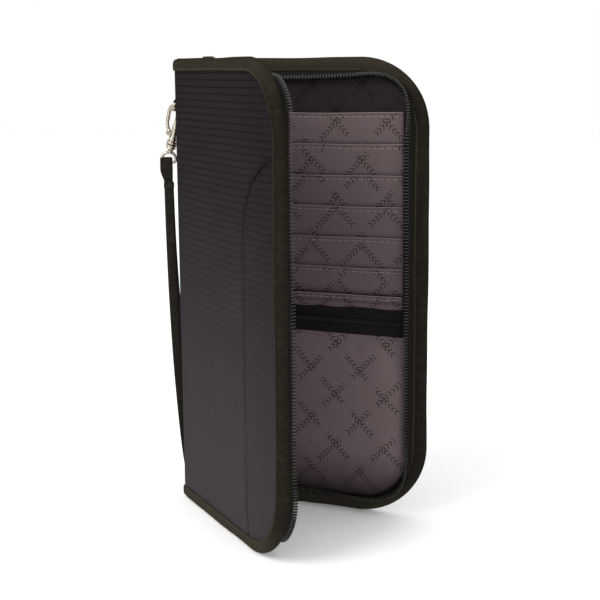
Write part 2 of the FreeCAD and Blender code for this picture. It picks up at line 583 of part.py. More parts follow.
eye_r, eye_low = size("eye_radius"), size("eye_centre") + size("eye_leg")
eye_pieces = [
    made("Part::Cylinder", "eye_stem", at(0, 0, -size("swivel_top") - size("weld")),
         Radius="Sizes.stem_radius", Height="Sizes.swivel_top + Sizes.weld + Sizes.stem_top"),
    made("Part::Cylinder", "eye_collar", at(0, 0, -size("swivel_bottom")),
         Radius="Sizes.swivel_collar", Height="Sizes.swivel_bottom - Sizes.swivel_top"),
    made("Part::Cylinder", "eye_neck", at(0, 0, -size("eye_centre") + eye_r - size("neck_weld")),
         Radius="Sizes.neck_radius",
         Height="Sizes.eye_centre - Sizes.eye_radius + Sizes.neck_weld - Sizes.swivel_bottom"
                " + Sizes.weld"),
    made("Part::Torus", "eye_bow", at(0, 0, -size("eye_centre"), Rotation(X, 90)),
         Radius1="Sizes.eye_radius", Radius2="Sizes.eye_wire", Angle3="180"),
    made("Part::Cylinder", "eye_bar", at(-eye_r, 0, -eye_low, ALONG_X), Radius="Sizes.eye_wire",
         Height="2 * Sizes.eye_radius"),
]
for name, leg_x in (("eye_leg_near", -eye_r), ("eye_leg_far", eye_r)):
    eye_pieces.append(made("Part::Cylinder", name, at(leg_x, 0, -eye_low), Radius="Sizes.eye_wire",
                           Height="Sizes.eye_leg"))
    eye_pieces.append(made("Part::Sphere", name + "_corner", at(leg_x, 0, -eye_low),
                           Radius="Sizes.eye_wire"))
keep(fused("eye_solid", eye_pieces), "swivel_eye", SWIVEL)

# ---------------------------------------------------------------- wrist strap

# strap frame: X across the webbing, Y in the loop's plane, Z down the strap, origin at the eye's bar
strap_across = SWIVEL.Rotation.multVec(X)
strap_across = Vector(strap_across.x, strap_across.y, 0).normalize()
lean_sign = 1 if strap_across.x > 0 else -1
strap_across = strap_across * lean_sign
strap_down = strap_across * math.sin(math.radians(size("strap_lean"))) \
    - Z * math.cos(math.radians(size("strap_lean")))
strap_depth = strap_down.cross(strap_across)
STRAP = Placement(FreeCAD.Matrix(
    strap_across.x, strap_depth.x, strap_down.x, bar_point.x,
    strap_across.y, strap_depth.y, strap_down.y, bar_point.y,
    strap_across.z, strap_depth.z, strap_down.z, bar_point.z, 0, 0, 0, 1))

half_strap = size("strap_width") / 2
head_outer = "Sizes.head_inner + Sizes.strap_thickness"


def stadium(name, radius, length):
    """Straight-sided loop section, padded across the strap."""
    disc = made("Part::Cylinder", name + "_disc", at(-half_strap, 0, 0, ALONG_X), Radius=radius,
                Height="Sizes.strap_width")
    slab = made("Part::Box", name + "_slab", Length="Sizes.strap_width", Width="2 * (%s)" % radius,
                Height=length)
    slab.setExpression("Placement.Base.y", "-(%s)" % radius)
    slab.setExpression("Placement.Base.x", "-Sizes.strap_width / 2")
    return fused(name + "_stadium", [disc, slab])


keep(cut("head_solid", stadium("head_outside", head_outer, "Sizes.head_length"),
         stadium("head_inside", "Sizes.head_inner", "Sizes.head_length - Sizes.head_floor")),
     "strap_head", STRAP)
keeper_x, keeper_y = size("keeper_width") / 2, size("keeper_depth") / 2
keeper = made("Part::Box", "keeper_block", Length="Sizes.keeper_width", Width="Sizes.keeper_depth",
              Height="Sizes.keeper_height")
keep(keeper, "strap_keeper", STRAP * at(-keeper_x, -keeper_y, size("head_length")))

# route of the loop in the strap frame, which leans over to its X side: (X, Y, distance down)
STRAP_ROUTE = [
    (0, 1.75, 13.2), (0.2, 3.8, 46.7), (1.9, 4.6, 102.4), (4.5, 2.2, 143.4), (6.4, -0.6, 164.5),
    (7.6, -11.7, 175), (7.9, -26.7, 173.9), (7.3, -37, 162.7), (5.6, -38.5, 139.2),
    (2.9, -30.5, 101.3), (0.9, -16.5, 60.3), (0.2, -6.6, 33), (0, -1.75, 13.2),
]


def rounded_path(points):
    """Straight runs joined by tangent arcs, each as large as its two runs allow."""
    edges, radii, start = [], [], points[0]
    for before, here, after in zip(points, points[1:], points[2:]):
        into, out = (here - before), (after - here)
        shorter = min(into.Length, out.Length)
        into.normalize()
        out.normalize()
        turn = into.getAngle(out)
        reach = 0.45 * shorter
        radii.append(reach / math.tan(turn / 2))
        begin, end = here - into * reach, here + out * reach
        bisector = (out - into).normalize()
        centre = here + bisector * (radii[-1] / math.cos(turn / 2))
        middle = centre - bisector * radii[-1]
        edges.append(Part.LineSegment(start, begin).toShape())
        edges.append(Part.Arc(begin, middle, end).toShape())
        start = end
    edges.append(Part.LineSegment(start, points[-1]).toShape())
    return Part.Wire(edges), radii


route = [Vector(*point) for point in STRAP_ROUTE]
path, radii = rounded_path(route)
first_run = (route[1] - route[0]).normalize()
across = X * half_strap
thick = first_run.cross(X) * (size("strap_thickness") / 2)
corners = [route[0] + across + thick, route[0] - across + thick,
           route[0] - across - thick, route[0] + across - thick]
section = Part.makePolygon(corners + corners[:1])
strap_solid = path.makePipeShell([section], True, False)
strap = doc.addObject("Part::Feature", "strap_loop")
strap.Shape = strap_solid
keep(strap, "wrist_strap", STRAP)

doc.recompute()

# ---------------------------------------------------------------- checks and export

for obj in doc.Objects:
    bad = [state for state in obj.State if state in ("Invalid", "Error")]
    assert not bad, "%s is %s" % (obj.Label, bad)
for obj in parts:
    shape = obj.Shape
    assert not shape.isNull() and shape.isValid() and shape.Volume > 0, obj.Label

strap_volume = size("strap_width") * size("strap_thickness") * path.Length
print("strap length %.1f mm, radii %s" % (path.Length, [round(r, 1) for r in radii]))
print("strap volume %.2f of section x length" % (strap.Shape.Volume / strap_volume))

box = FreeCAD.BoundBox()
for obj in parts:
    if obj.Label != "wrist_strap":
        box.add(obj.Shape.optimalBoundingBox())
print("box x %.3f %.3f y %.3f %.3f z %.3f %.3f" % (box.XMin, box.XMax, box.YMin, box.YMax,
                                                   box.ZMin, box.ZMax))
for name, placement, point in (
        ("back fold", BACK, back_fold), ("front fold", SPINE, front_fold), ("ring", RING, Vector()),
        ("hook", TAB, ring_far), ("gate", HOOK, Vector(size("pivot_x"), 0, size("pivot_z"))),
        ("swivel", SWIVEL, Vector()), ("main pull", BACK, main_eye),
        ("pocket pull", TO_POCKET, pocket_eye)):
    spot = placement.multVec(point)
    axes = [placement.Rotation.multVec(axis) for axis in (X, Y, Z)]
    print(name, "at", [round(v, 3) for v in spot],
          "axes", [[round(v, 5) for v in axis] for axis in axes])
print("strap route, m:", [[round(v / 1000, 5) for v in STRAP.multVec(p)] for p in route])

os.makedirs("parts", exist_ok=True)
for obj in parts:
    obj.Shape.exportStep(os.path.join("parts", obj.Label + ".step"))
print(len(parts), "parts written")
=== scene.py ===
"""Looks of the passport holder wallet: covers, binding, zips, pockets, hook and wrist strap.

Cover coordinates are in millimetres: u from the spine to the free edge, v up, d outward from the
cover's inner face. A Plane maps them to the row frame, in metres.
"""

import json
import math

import bmesh
import bpy
import numpy as np
from mathutils import Matrix, Vector


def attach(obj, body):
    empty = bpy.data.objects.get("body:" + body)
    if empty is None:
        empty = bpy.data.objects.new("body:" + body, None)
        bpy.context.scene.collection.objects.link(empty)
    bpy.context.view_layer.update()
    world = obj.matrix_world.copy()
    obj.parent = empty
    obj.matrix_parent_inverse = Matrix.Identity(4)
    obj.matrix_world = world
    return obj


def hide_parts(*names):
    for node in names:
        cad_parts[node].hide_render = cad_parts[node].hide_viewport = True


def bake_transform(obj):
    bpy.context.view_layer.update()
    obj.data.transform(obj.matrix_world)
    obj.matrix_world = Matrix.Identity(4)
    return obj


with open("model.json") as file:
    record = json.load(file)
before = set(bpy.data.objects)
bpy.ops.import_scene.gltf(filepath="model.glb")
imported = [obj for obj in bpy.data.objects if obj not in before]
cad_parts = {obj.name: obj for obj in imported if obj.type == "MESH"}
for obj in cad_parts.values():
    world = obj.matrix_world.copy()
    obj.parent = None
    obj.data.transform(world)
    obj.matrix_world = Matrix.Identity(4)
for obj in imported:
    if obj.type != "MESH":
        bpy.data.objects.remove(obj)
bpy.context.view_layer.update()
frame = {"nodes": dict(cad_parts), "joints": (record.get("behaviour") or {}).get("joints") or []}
scene = bpy.context.scene

MM = 0.001
WIDTH, HEIGHT = 122, 235
TOP_RADIUS, BOTTOM_RADIUS = 36, 38
SHELL, HALF_SHELL = 3.6, 1.8
FOLD_U = -2.2
BINDING_WIDTH = 7
INNER_FILLET = 3.0
SEAM_U, SEAM_V, SEAM_RADIUS = 81, 150, 40.3
SLOT_LEFT, SLOT_LENGTH, SLOT_TOP, SLOT_PITCH, SLOT_TALL, LAST_STEP = 11, 98, 208, 15.6, 18.0, 14
BAND_LOW, BAND_MIDDLE, BAND_HIGH = 95, 101.5, 109
POCKET_TOP, POCKET_INSET, PASSPORT_TOP = 94.8, 8.4, 122
TAPE_INSET, ZIP_REACH = 7.1, {"back": 7.1, "front": 7.4}
BACK_ZIP_START, FRONT_ZIP_START = 1, 9.8
TOOTH_PITCH, TOOTH_LENGTH, TOOTH_DEPTH, TAPE_BELOW_TIPS = 1.6, 3.0, 1.7, 2.1
TAB_ALONG, TAB_V = 13.3, 212
STITCH, STITCH_PITCH, THREAD = 2.6, 3.7, 0.17
UP = np.array((0, 0, 1.0))
RIB_PITCH, RIB_HEIGHT = 1.1, 0.1


# ---- places from the frame

joints = {joint["name"]: joint for joint in frame["joints"]}


def joint_place(name):
    return np.array(joints[name]["pos_m"], float)


back_fold, front_fold = (Vector(joint_place(name) * (1, 1, 0)) for name in ("spine_fold", "cover_fold"))
spine_way = (front_fold - back_fold).normalized()
half_opening = math.atan2(spine_way.x, -spine_way.y)
turn_half = Matrix.Rotation(half_opening, 3, "Z")
turn_full = Matrix.Rotation(2 * half_opening, 3, "Z")


def unit(vectors):
    return vectors / np.linalg.norm(vectors, axis=-1, keepdims=True)


def turns(count):
    """Angles round a full circle."""
    return np.linspace(0, 2 * math.pi, count, endpoint=False)


def run_of(points):
    """Distance along a path to each of its points."""
    return np.concatenate([[0], np.cumsum(np.linalg.norm(np.diff(points, axis=0), axis=1))])


def points_at(places, run, points):
    """Points of a path at given distances along it."""
    return np.stack([np.interp(places, run, points[:, k]) for k in range(3)], 1)


class Plane:
    """Maps (u, v, d) in millimetres to the row frame."""

    def __init__(self, fold, fold_u, along, out):
        self.along, self.out = np.array(along), np.array(out)
        self.base = np.array(fold) / MM - fold_u * self.along - HALF_SHELL * self.out

    def __call__(self, u, v, d):
        u, v, d = (np.asarray(x, float)[..., None] for x in (u, v, d))
        return (self.base + u * self.along + d * self.out + v * UP) * MM


BACK = Plane(back_fold, FOLD_U, Vector((1, 0, 0)), Vector((0, 1, 0)))
FRONT = Plane(front_fold, FOLD_U, turn_full @ Vector((1, 0, 0)), turn_full @ Vector((0, -1, 0)))
SPINE = Plane(back_fold, 0, spine_way, turn_half @ Vector((-1, 0, 0)))
SPINE_WIDTH = (front_fold - back_fold).length / MM
SIDES = {"back": {"plane": BACK, "fold": back_fold, "turn": 1, "zip": BACK_ZIP_START},
         "front": {"plane": FRONT, "fold": front_fold, "turn": -1, "zip": FRONT_ZIP_START}}


# ---- outlines

def edge_path(start, step):
    """Points, inward normals and distances along a cover's bottom, free side and top."""
    low, high, quarter = BOTTOM_RADIUS, TOP_RADIUS, math.pi / 2
    # straight and round stretches: (length, radius or 0, heading, first point)
    stretches = [(WIDTH - low - start, 0, 0, (start, 0)),
                 (quarter * low, low, 0, (WIDTH - low, 0)),
                 (HEIGHT - low - high, 0, quarter, (WIDTH, low)),
                 (quarter * high, high, quarter, (WIDTH, HEIGHT - high)),
                 (WIDTH - high - start, 0, 2 * quarter, (WIDTH - high, HEIGHT))]
    total = sum(stretch[0] for stretch in stretches)
    distances = np.linspace(0, total, int(total / step) + 1)
    points, normals = np.zeros((2, len(distances), 2))
    begin = 0
    for length, radius, heading, first in stretches:
        here = distances >= begin
        rest = distances[here] - begin
        angle = heading + (rest / radius if radius else 0 * rest)
        normals[here] = np.stack([-np.sin(angle), np.cos(angle)], 1)
        along = np.array((math.cos(heading), math.sin(heading)))
        if radius:
            points[here] = first + radius * np.array((-along[1], along[0])) - radius * normals[here]
        else:
            points[here] = first + rest[:, None] * along
        begin += length
    return points, normals, distances


def corners(v):
    """The radius of each rounded corner, and how far height v is past the start of its curve."""
    return (BOTTOM_RADIUS, BOTTOM_RADIUS - v), (TOP_RADIUS, v - HEIGHT + TOP_RADIUS)


def right_limit(v, inset):
    """The u at which a cover's outline, at an inset, is met at height v."""
    for radius, past in corners(v):
        if past > 0:
            return WIDTH - radius + math.sqrt(max((radius - inset) ** 2 - past ** 2, 0))
    return WIDTH - inset


def inset_of(u, v):
    """Distance of cover points from the outer edge."""
    inset = np.minimum(np.minimum(v, HEIGHT - v), WIDTH - u)
    for radius, past_v in corners(v):
        past_u = u - WIDTH + radius
        inset = np.where((past_u > 0) & (past_v > 0), radius - np.hypot(past_u, past_v), inset)
    return inset


def seam_u(v):
    """The u of the front shell's curved seam at height v."""
    if v <= SEAM_V:
        return SEAM_U
    rise = min(v - SEAM_V, SEAM_RADIUS)
    return SEAM_U + SEAM_RADIUS - math.sqrt(SEAM_RADIUS ** 2 - rise ** 2)


def seam_distance(u, v):
    """Distance of cover points from the seam."""
    straight = np.abs(u - SEAM_U)
    curved = np.abs(np.hypot(u - SEAM_U - SEAM_RADIUS, v - SEAM_V) - SEAM_RADIUS)
    return np.where(v <= SEAM_V, straight, curved)


def cover_rows(inset, step):
    """Heights of a cover panel's rows, closer together on the seam's curve."""
    low = np.linspace(inset, SEAM_V, int((SEAM_V - inset) / step) + 1)
    angles = np.linspace(0, math.pi / 2, int(SEAM_RADIUS * math.pi / 2 / step) + 1)[1:]
    curve = SEAM_V + SEAM_RADIUS * np.sin(angles)
    top_room = HEIGHT - inset - curve[-1]
    top = np.linspace(curve[-1], HEIGHT - inset, int(top_room / step) + 1)[1:]
    return np.concatenate([low, curve, top])


# ---- meshes

def new_object(name, vertices, faces):
    mesh = bpy.data.meshes.new(name)
    mesh.from_pydata([tuple(p) for p in vertices], [], [tuple(f) for f in faces])
    obj = bpy.data.objects.new(name, mesh)
    scene.collection.objects.link(obj)
    return obj


def smooth(obj):
    obj.data.polygons.foreach_set("use_smooth", [True] * len(obj.data.polygons))
    return obj


def set_uv(obj, values):
    """Give each vertex's (x, y) in millimetres to the corners that use it."""
    layer = obj.data.uv_layers.new(name="cloth")
    index = np.zeros(len(obj.data.loops), int)
    obj.data.loops.foreach_get("vertex_index", index)
    layer.data.foreach_set("uv", np.asarray(values, float)[index].ravel())


def quads(rows, columns):
    """Faces of a grid of points, row by row."""
    index = np.arange(rows * columns).reshape(rows, columns)
    corner_points = index[:-1, :-1], index[:-1, 1:], index[1:, 1:], index[1:, :-1]
    return np.stack(corner_points, -1).reshape(-1, 4).tolist()


def grid(name, points, x, y, wrap=False, caps=False):
    """Mesh of rows and columns, with x and y on its cloth in millimetres. wrap joins the last column
    to the first, and caps close the ends."""
    uv = np.stack(np.broadcast_arrays(x, y), -1) * 1.0
    rows, columns = points.shape[:2]
    if wrap:
        points = np.concatenate([points, points[:, :1]], 1)
        step = np.linalg.norm(uv[:, -1:] - uv[:, -2:-1], axis=2, keepdims=True) * np.array((0, 1))
        uv = np.concatenate([uv, uv[:, -1:] + step], 1)
        columns += 1
    faces = quads(rows, columns)
    if caps:
        last = (rows - 1) * columns
        faces += [range(columns - 1, 0, -1), range(last, last + columns - 1)]
    obj = new_object(name, points.reshape(-1, 3), faces)
    set_uv(obj, uv.reshape(-1, 2))
    if wrap:
        close_seam(obj)
    return smooth(obj)


def closed_grid(name, points, x, y):
    """Closed mesh whose rows are rings."""
    return grid(name, points, x, y, wrap=True, caps=True)


def close_seam(obj):
    """Merge the doubled column of a wrapped mesh; its texture coordinates stay apart."""
    work = bmesh.new()
    work.from_mesh(obj.data)
    bmesh.ops.remove_doubles(work, verts=work.verts, dist=1e-7)
    bmesh.ops.recalc_face_normals(work, faces=work.faces)
    work.to_mesh(obj.data)
    work.free()


def faced(obj, plane, outward):
    """Turn a sheet's faces to a plane's outer side, 1, or to its inner one, -1."""
    middle = obj.data.polygons[len(obj.data.polygons) // 2]
    if np.dot(np.array(middle.normal), plane.out) * outward < 0:
        obj.data.flip_normals()
    return obj


def thickened(obj, thickness):
    """Give a sheet its thickness, and make that its mesh."""
    modifier = obj.modifiers.new("thickness", "SOLIDIFY")
    modifier.thickness, modifier.offset = thickness * MM, -1.0
    evaluated = obj.evaluated_get(bpy.context.evaluated_depsgraph_get())
    obj.data = bpy.data.meshes.new_from_object(evaluated)
    obj.modifiers.clear()
    return obj


def repeated(name, centres, axes, shape, faces):
    """One mesh of many equal small shapes. axes holds three unit vectors for each centre."""
    count = len(shape)
    points = centres[:, None, :] + np.einsum("kj,njc->nkc", shape, axes)
    all_faces = []
    for number in range(len(centres)):
        all_faces += [[number * count + i for i in face] for face in faces]
    obj = smooth(new_object(name, points.reshape(-1, 3), all_faces))
    set_uv(obj, np.tile(shape[:, [1, 0]] / MM, (len(centres), 1)))
    return obj


def ring_shape(levels, around):
    """Closed shape from elliptical rings: levels holds (height, radius x, radius y, shift x)."""
    shape = [(shift + rx * math.cos(a), height, ry * math.sin(a))
             for height, rx, ry, shift in levels for a in turns(around)]
    faces, last = [], (len(levels) - 1) * around
    for first in range(0, last, around):
        for k in range(around):
            here, there = first + k, first + (k + 1) % around
            faces.append((here, there, there + around, here + around))
    faces += [range(around)[::-1], range(last, last + around)]
    return np.array(shape) * MM, faces


def tube(name, points, radii, around=16, closed=False):
    """Round wire along points, with a radius in millimetres at each of them."""
    ahead = np.roll(points, -1, 0) - np.roll(points, 1, 0) if closed else np.gradient(points, axis=0)
    tangents = unit(ahead)
    side = np.cross(tangents[0], np.roll(tangents[0], 1) + (0.1, 0.2, 0.3))
    sides = []
    for tangent in tangents:
        side = unit(side - tangent * np.dot(side, tangent))
        sides.append(side)
    ups = np.cross(tangents, sides)
    if closed:
        points, radii, sides, ups = (np.concatenate([a, a[:1]]) for a in (points, radii, sides, ups))
    turn = turns(around)[:, None]
    sections = points[:, None] + radii[:, None, None] * MM * (
        np.cos(turn) * np.array(sides)[:, None] + np.sin(turn) * ups[:, None])
    return grid(name, sections, run_of(points)[:, None] / MM, turns(around) * radii.mean(), wrap=True,
                caps=not closed)


class Place:
    """Maps (x, y, z) in millimetres from a frame to the row frame."""

    def __init__(self, origin, x_axis, z_axis):
        self.origin, self.x, self.z = (np.array(a, float) for a in (origin, x_axis, z_axis))
        self.y = np.cross(self.z, self.x)

    def __call__(self, points):
        return self.origin + MM * np.asarray(points, float) @ np.array((self.x, self.y, self.z))


def lathed(name, place, profile, around=32):
    """Body turned about a frame's z from (z, radius) pairs."""
    turn = turns(around)
    rings = [[(r * math.cos(a), r * math.sin(a), z) for a in turn] for z, r in profile]
    return closed_grid(name, place(rings), np.arange(len(profile))[:, None], turn)


def rounded_outline(x0, x1, half_start, half_end, corner):
    """Outline of a plate from x0 to x1 whose half width goes from one value to the other."""
    outline = []
    for x, half, first in ((x0, -half_start, 180), (x1, -half_end, 270), (x1, half_end, 0),
                           (x0, half_start, 90)):
        centre_x = x + corner * (1 if x == x0 else -1)
        centre_y = half + corner * (1 if half < 0 else -1)
        for step in range(6):
            angle = math.radians(first + step * 18)
            outline.append((centre_x + corner * math.cos(angle), centre_y + corner * math.sin(angle)))
    return np.array(outline)


def extruded(name, place, outline, low, high, bevel):
    """Plate with an (x, y) outline between two heights, with softened edges."""
    middle = outline.mean(0)
    reach = np.linalg.norm(outline - middle, axis=1, keepdims=True)
    rings = []
    for z, drawn_in in ((low, 1), (low + 0.3 * bevel, 0.3), (low + bevel, 0),
                        (high - bevel, 0), (high - 0.3 * bevel, 0.3), (high, 1)):
        ring = middle + (outline - middle) * (1 - drawn_in * bevel / reach)
        rings.append([(x, y, z) for x, y in ring])
    return closed_grid(name, place(rings), np.arange(len(rings))[:, None], np.arange(len(outline)))


def joined(name, objects):
    """One object made of several."""
    with bpy.context.temp_override(active_object=objects[0], selected_editable_objects=objects):
        bpy.ops.object.join()
    objects[0].name = name
    return objects[0]


# ---- materials

class Shade:
    """Short way to write a material's nodes."""

    def __init__(self, name, **shader_values):
        self.material = bpy.data.materials.new(name)
        self.material.use_nodes = True
        self.tree = self.material.node_tree
        self.shader = self.tree.nodes["Principled BSDF"]
        for key, value in shader_values.items():
            self.shader.inputs[key.replace("_", " ")].default_value = value

    def feed(self, socket, value):
        if isinstance(value, bpy.types.NodeSocket):
            self.tree.links.new(value, socket)
        else:
            socket.default_value = value

    def node(self, kind, values=(), **settings):
        """New node; values go to its inputs, by their order or, in a dictionary, by their keys."""
        node = self.tree.nodes.new(kind)
        for key, value in settings.items():
            setattr(node, key, value)
        keyed = values.items() if isinstance(values, dict) else enumerate(values)
        for key, value in keyed:
            self.feed(node.inputs[key], value)
        return node

    def math(self, operation, *values):
        return self.node("ShaderNodeMath", values, operation=operation).outputs[0]

    def plus(self, one, other):
        return self.math("ADD", one, other)

    def times(self, one, other):
        return self.math("MULTIPLY", one, other)

    def mix(self, factor, one, other, strength=None):
        """From one colour to the other by a factor, times a strength."""
        share = self.times(factor, strength) if strength else factor
        return self.node("ShaderNodeMix", {0: share, 6: one, 7: other}, data_type="RGBA").outputs[2]

    def cloth(self):
        """The place on the cloth in millimetres, and its x and y."""
        uv = self.node("ShaderNodeUVMap", uv_map="cloth").outputs[0]
        parts = self.node("ShaderNodeSeparateXYZ", [uv])
        return uv, parts.outputs[0], parts.outputs[1]

    def object_place(self):
        return self.node("ShaderNodeTexCoord").outputs["Object"]

    def noise(self, vector, scale, detail=2.0, rough=0.5):
        return self.node("ShaderNodeTexNoise", {"Vector": vector, "Scale": scale, "Detail": detail,
                                                "Roughness": rough}).outputs[0]

    def soft_step(self, value, low, high):
        """0 at low, 1 at high, smooth between."""
        return self.node("ShaderNodeMapRange", (value, low, high),
                         interpolation_type="SMOOTHSTEP").outputs[0]

    def line(self, value, pitch, half_width, soft):
        """1 on lines a pitch apart, 0 between them."""
        off = self.math("PINGPONG", value, pitch / 2)
        return self.math("SUBTRACT", 1.0, self.soft_step(off, half_width, half_width + soft))

    def wave(self, value, pitch):
        """0 to 1 wave along a coordinate."""
        return self.math("MULTIPLY_ADD", self.math("SINE", self.times(value, 2 * math.pi / pitch)), 0.5, 0.5)

    def colour(self, value):
        self.feed(self.shader.inputs["Base Color"], value)

    def roughness(self, mask, spread, low):
        """Roughness that rises from low by a spread where the mask is 1."""
        self.feed(self.shader.inputs["Roughness"], self.math("MULTIPLY_ADD", mask, spread, low))

    def bump(self, height, distance):
        """Bump whose height of 1 stands for a distance in millimetres."""
        node = self.node("ShaderNodeBump", {"Height": height, "Distance": distance * MM})
        self.feed(self.shader.inputs["Normal"], node.outputs[0])


def rgb(colour, factor=1.0):
    """A socket's colour. The factor is one number, or one for each channel."""
    return (*(np.array(colour) * factor), 1.0)


def ripstop(name, dark, light):
    """Fine weave with a grid of heavier threads, and painted light: paler at the foot, with painted shade at
    the top and towards the free edge.
    """
    shade = Shade(name, Specular_IOR_Level=0.0)
    place, x, y = shade.cloth()
    thread_pitch, weave_pitch = 3.3, 0.55
    across = shade.line(y, thread_pitch, 0.22, 0.35)
    upright = shade.line(x, thread_pitch / 2, 0.12, 0.3)
    fine = shade.times(shade.wave(x, weave_pitch), shade.wave(y, weave_pitch))
    wander = shade.times(shade.noise(place, 0.045, 3.0), 40)
    # painted light: 1 at the lit foot, 0 at the top, which is in painted shade
    painted_light_drift = shade.soft_step(shade.plus(y, wander), 242.0, 12.0)
    patch = shade.soft_step(shade.noise(place, 0.5, 2.0), 0.35, 0.7)

    def painted_light_toned(dark_factor, light_factor):
        """Painted light from the paler foot to the painted shade at the top, with both ends tinted."""
        return shade.mix(painted_light_drift, rgb(dark, dark_factor), rgb(light, light_factor))

    # painted shade: darker towards the free edge, where the cover curves away
    shaded = shade.mix(shade.soft_step(x, 70.0, 118.0), painted_light_toned(1, 1), painted_light_toned(0.8, 0.8))
    plum = shade.mix(patch, shaded, painted_light_toned((1, 0.84, 1), (1, 0.88, 1)), 0.4)
    strength = shade.times(across, shade.soft_step(y, 30.0, 260.0))
    deep = rgb(dark, 0.35)
    lined = shade.mix(shade.math("MULTIPLY_ADD", strength, 0.58, shade.times(across, 0.03)), plum, deep)
    crossed = shade.mix(upright, lined, deep, 0.26)
    shade.colour(shade.mix(fine, crossed, deep, 0.2))
    shade.roughness(fine, 0.15, 0.6)
    threads = shade.plus(shade.times(across, 0.7), shade.times(upright, 0.35))
    height = shade.plus(threads, shade.times(fine, 0.5))
    shade.bump(shade.plus(height, shade.times(patch, 0.8)), 0.05)
    return shade.material


def grosgrain(name, colour, pitch, run=None):
    """Grosgrain tape: cross ribs with a painted highlight on their crests and painted shade between them,
    and a few spots of wear. A tape of a given run round a cover has a painted highlight along its
    folded inner edges and is painted paler along the level stretches at its ends."""
    shade = Shade(name, Specular_IOR_Level=0.0, Roughness=0.8)
    place, x, y = shade.cloth()
    rib = shade.wave(x, pitch)
    wear = shade.soft_step(shade.noise(place, 0.25, 4.0, 0.65), 0.4, 0.75)
    # painted light: rib crests get the full colour, the troughs between them painted shade
    rib_painted_light = shade.mix(rib, rgb(colour, 0.35), rgb(colour))
    wear_and_painted_light = shade.mix(wear, rib_painted_light, rgb(colour, 1.4), 0.5)
    if run:
        # painted light: the level stretches at the top and bottom are paler, with a painted highlight on
        # their crests
        level = shade.soft_step(shade.math("PINGPONG", x, run / 2), 130.0, 95.0)
        painted_crest_highlight = shade.mix(rib, rgb(colour, 1.2), rgb(colour, 2.9))
        wear_and_painted_light = shade.mix(level, wear_and_painted_light, painted_crest_highlight, 0.75)
        # painted highlight: a pale line along the folded inner edges of the tape
        wear_and_painted_light = shade.mix(shade.soft_step(y, 1.9, 1.5), wear_and_painted_light, rgb(colour, 2.4), 0.75)
    shade.colour(wear_and_painted_light)
    shade.bump(shade.plus(rib, shade.times(shade.wave(y, 0.35), 0.35)), 0.09)
    return shade.material


def printed_lining(name, ground, ink, painted_shade_below=None):
    """Smooth lining with a printed lattice of diagonal chevron rows. It may have painted shade, darker
    towards its foot.
    """
    shade = Shade(name, Specular_IOR_Level=0.04)
    place, x, y = shade.cloth()
    rising = shade.times(shade.plus(x, y), math.sqrt(0.5))
    falling = shade.times(shade.math("SUBTRACT", y, x), math.sqrt(0.5))
    grain = shade.noise(place, 2.4, 3.0, 0.6)

    def chevron_row(along, across, shift):
        """Rows of chevrons along one diagonal, in groups with a gap between them."""
        spacing, half_height, edge, pitch, group, gap = 19.0, 1.5, 0.12, 2.3, 23.0, 2.6
        off = shade.math("PINGPONG", shade.plus(across, shift), spacing / 2)
        inside = shade.math("SUBTRACT", 1.0, shade.soft_step(off, half_height - edge, half_height + edge))
        tick = shade.line(shade.plus(along, shade.times(off, 0.85)), pitch, 0.3, 0.16)
        place_in_group = shade.math("PINGPONG", shade.plus(along, shift), group / 2)
        return shade.times(shade.times(inside, tick), shade.soft_step(place_in_group, gap, gap + 0.3))

    rows = shade.math("MAXIMUM", chevron_row(rising, falling, 0.0), chevron_row(falling, rising, 9.5))
    printed = shade.times(rows, shade.soft_step(grain, 0.15, 0.4))
    weave = shade.times(shade.wave(x, 0.4), shade.wave(y, 0.4))
    cloth = shade.mix(weave, rgb(ground), rgb(ground, (0.8, 0.78, 0.8)), 0.4)
    tinted = shade.mix(shade.noise(place, 0.06, 2.0), cloth, rgb(ground, (1.12, 1.04, 1.12)), 0.35)
    # painted shade: the panel darkens towards its foot
    if painted_shade_below:
        tinted = shade.mix(shade.soft_step(y, painted_shade_below, 17.0), tinted, rgb(ground, 0.26))
    shade.colour(shade.mix(printed, tinted, rgb(ink), 0.85))
    shade.roughness(grain, 0.2, 0.42)
    shade.bump(shade.plus(shade.times(weave, 0.05), shade.noise(place, 0.12, 3.0, 0.55)), 0.5)
    return shade.material


def zip_cloth(name, colour):
    """Dense herringbone tape of a zip."""
    shade = Shade(name, Specular_IOR_Level=0.02, Roughness=0.8)
    x, y = shade.cloth()[1:]
    twill = shade.wave(shade.plus(x, shade.math("PINGPONG", y, 0.8)), 0.5)
    shade.colour(shade.mix(twill, rgb(colour, 0.5), rgb(colour)))
    shade.bump(twill, 0.08)
    return shade.material


def speckled(name, colour, roughness, metallic=0.0, depth=0.02, scale=900.0, spread=0.25, **more):
    """Moulded, enamelled or plated surface: a slow wander of tone, fine grain and small scuffs."""
    shade = Shade(name, Metallic=metallic, **more)
    place = shade.object_place()
    grain = shade.noise(place, scale, 3.0)
    shade.colour(shade.mix(shade.noise(place, 60.0, 2.0), rgb(colour, 1 - spread), rgb(colour)))
    shade.roughness(grain, 0.2, roughness - 0.1)
    shade.bump(grain, depth)
    return shade.material


def coil_nylon(name, painted_crest_highlight, painted_flank_shade):
    """Nylon teeth with a painted highlight on their crests and painted shade on the flanks between them."""
    shade = Shade(name, Specular_IOR_Level=0.15)
    side = shade.math("ABSOLUTE", shade.cloth()[2])
    # painted highlight on the crests, painted shade on the flanks
    shade.colour(shade.mix(shade.soft_step(side, 0.32, 0.12), rgb(painted_flank_shade), rgb(painted_crest_highlight)))
    shade.roughness(shade.noise(shade.object_place(), 900.0, 3.0), 0.2, 0.25)
    return shade.material


# length of the binding round a cover
EDGE_RUN = 447
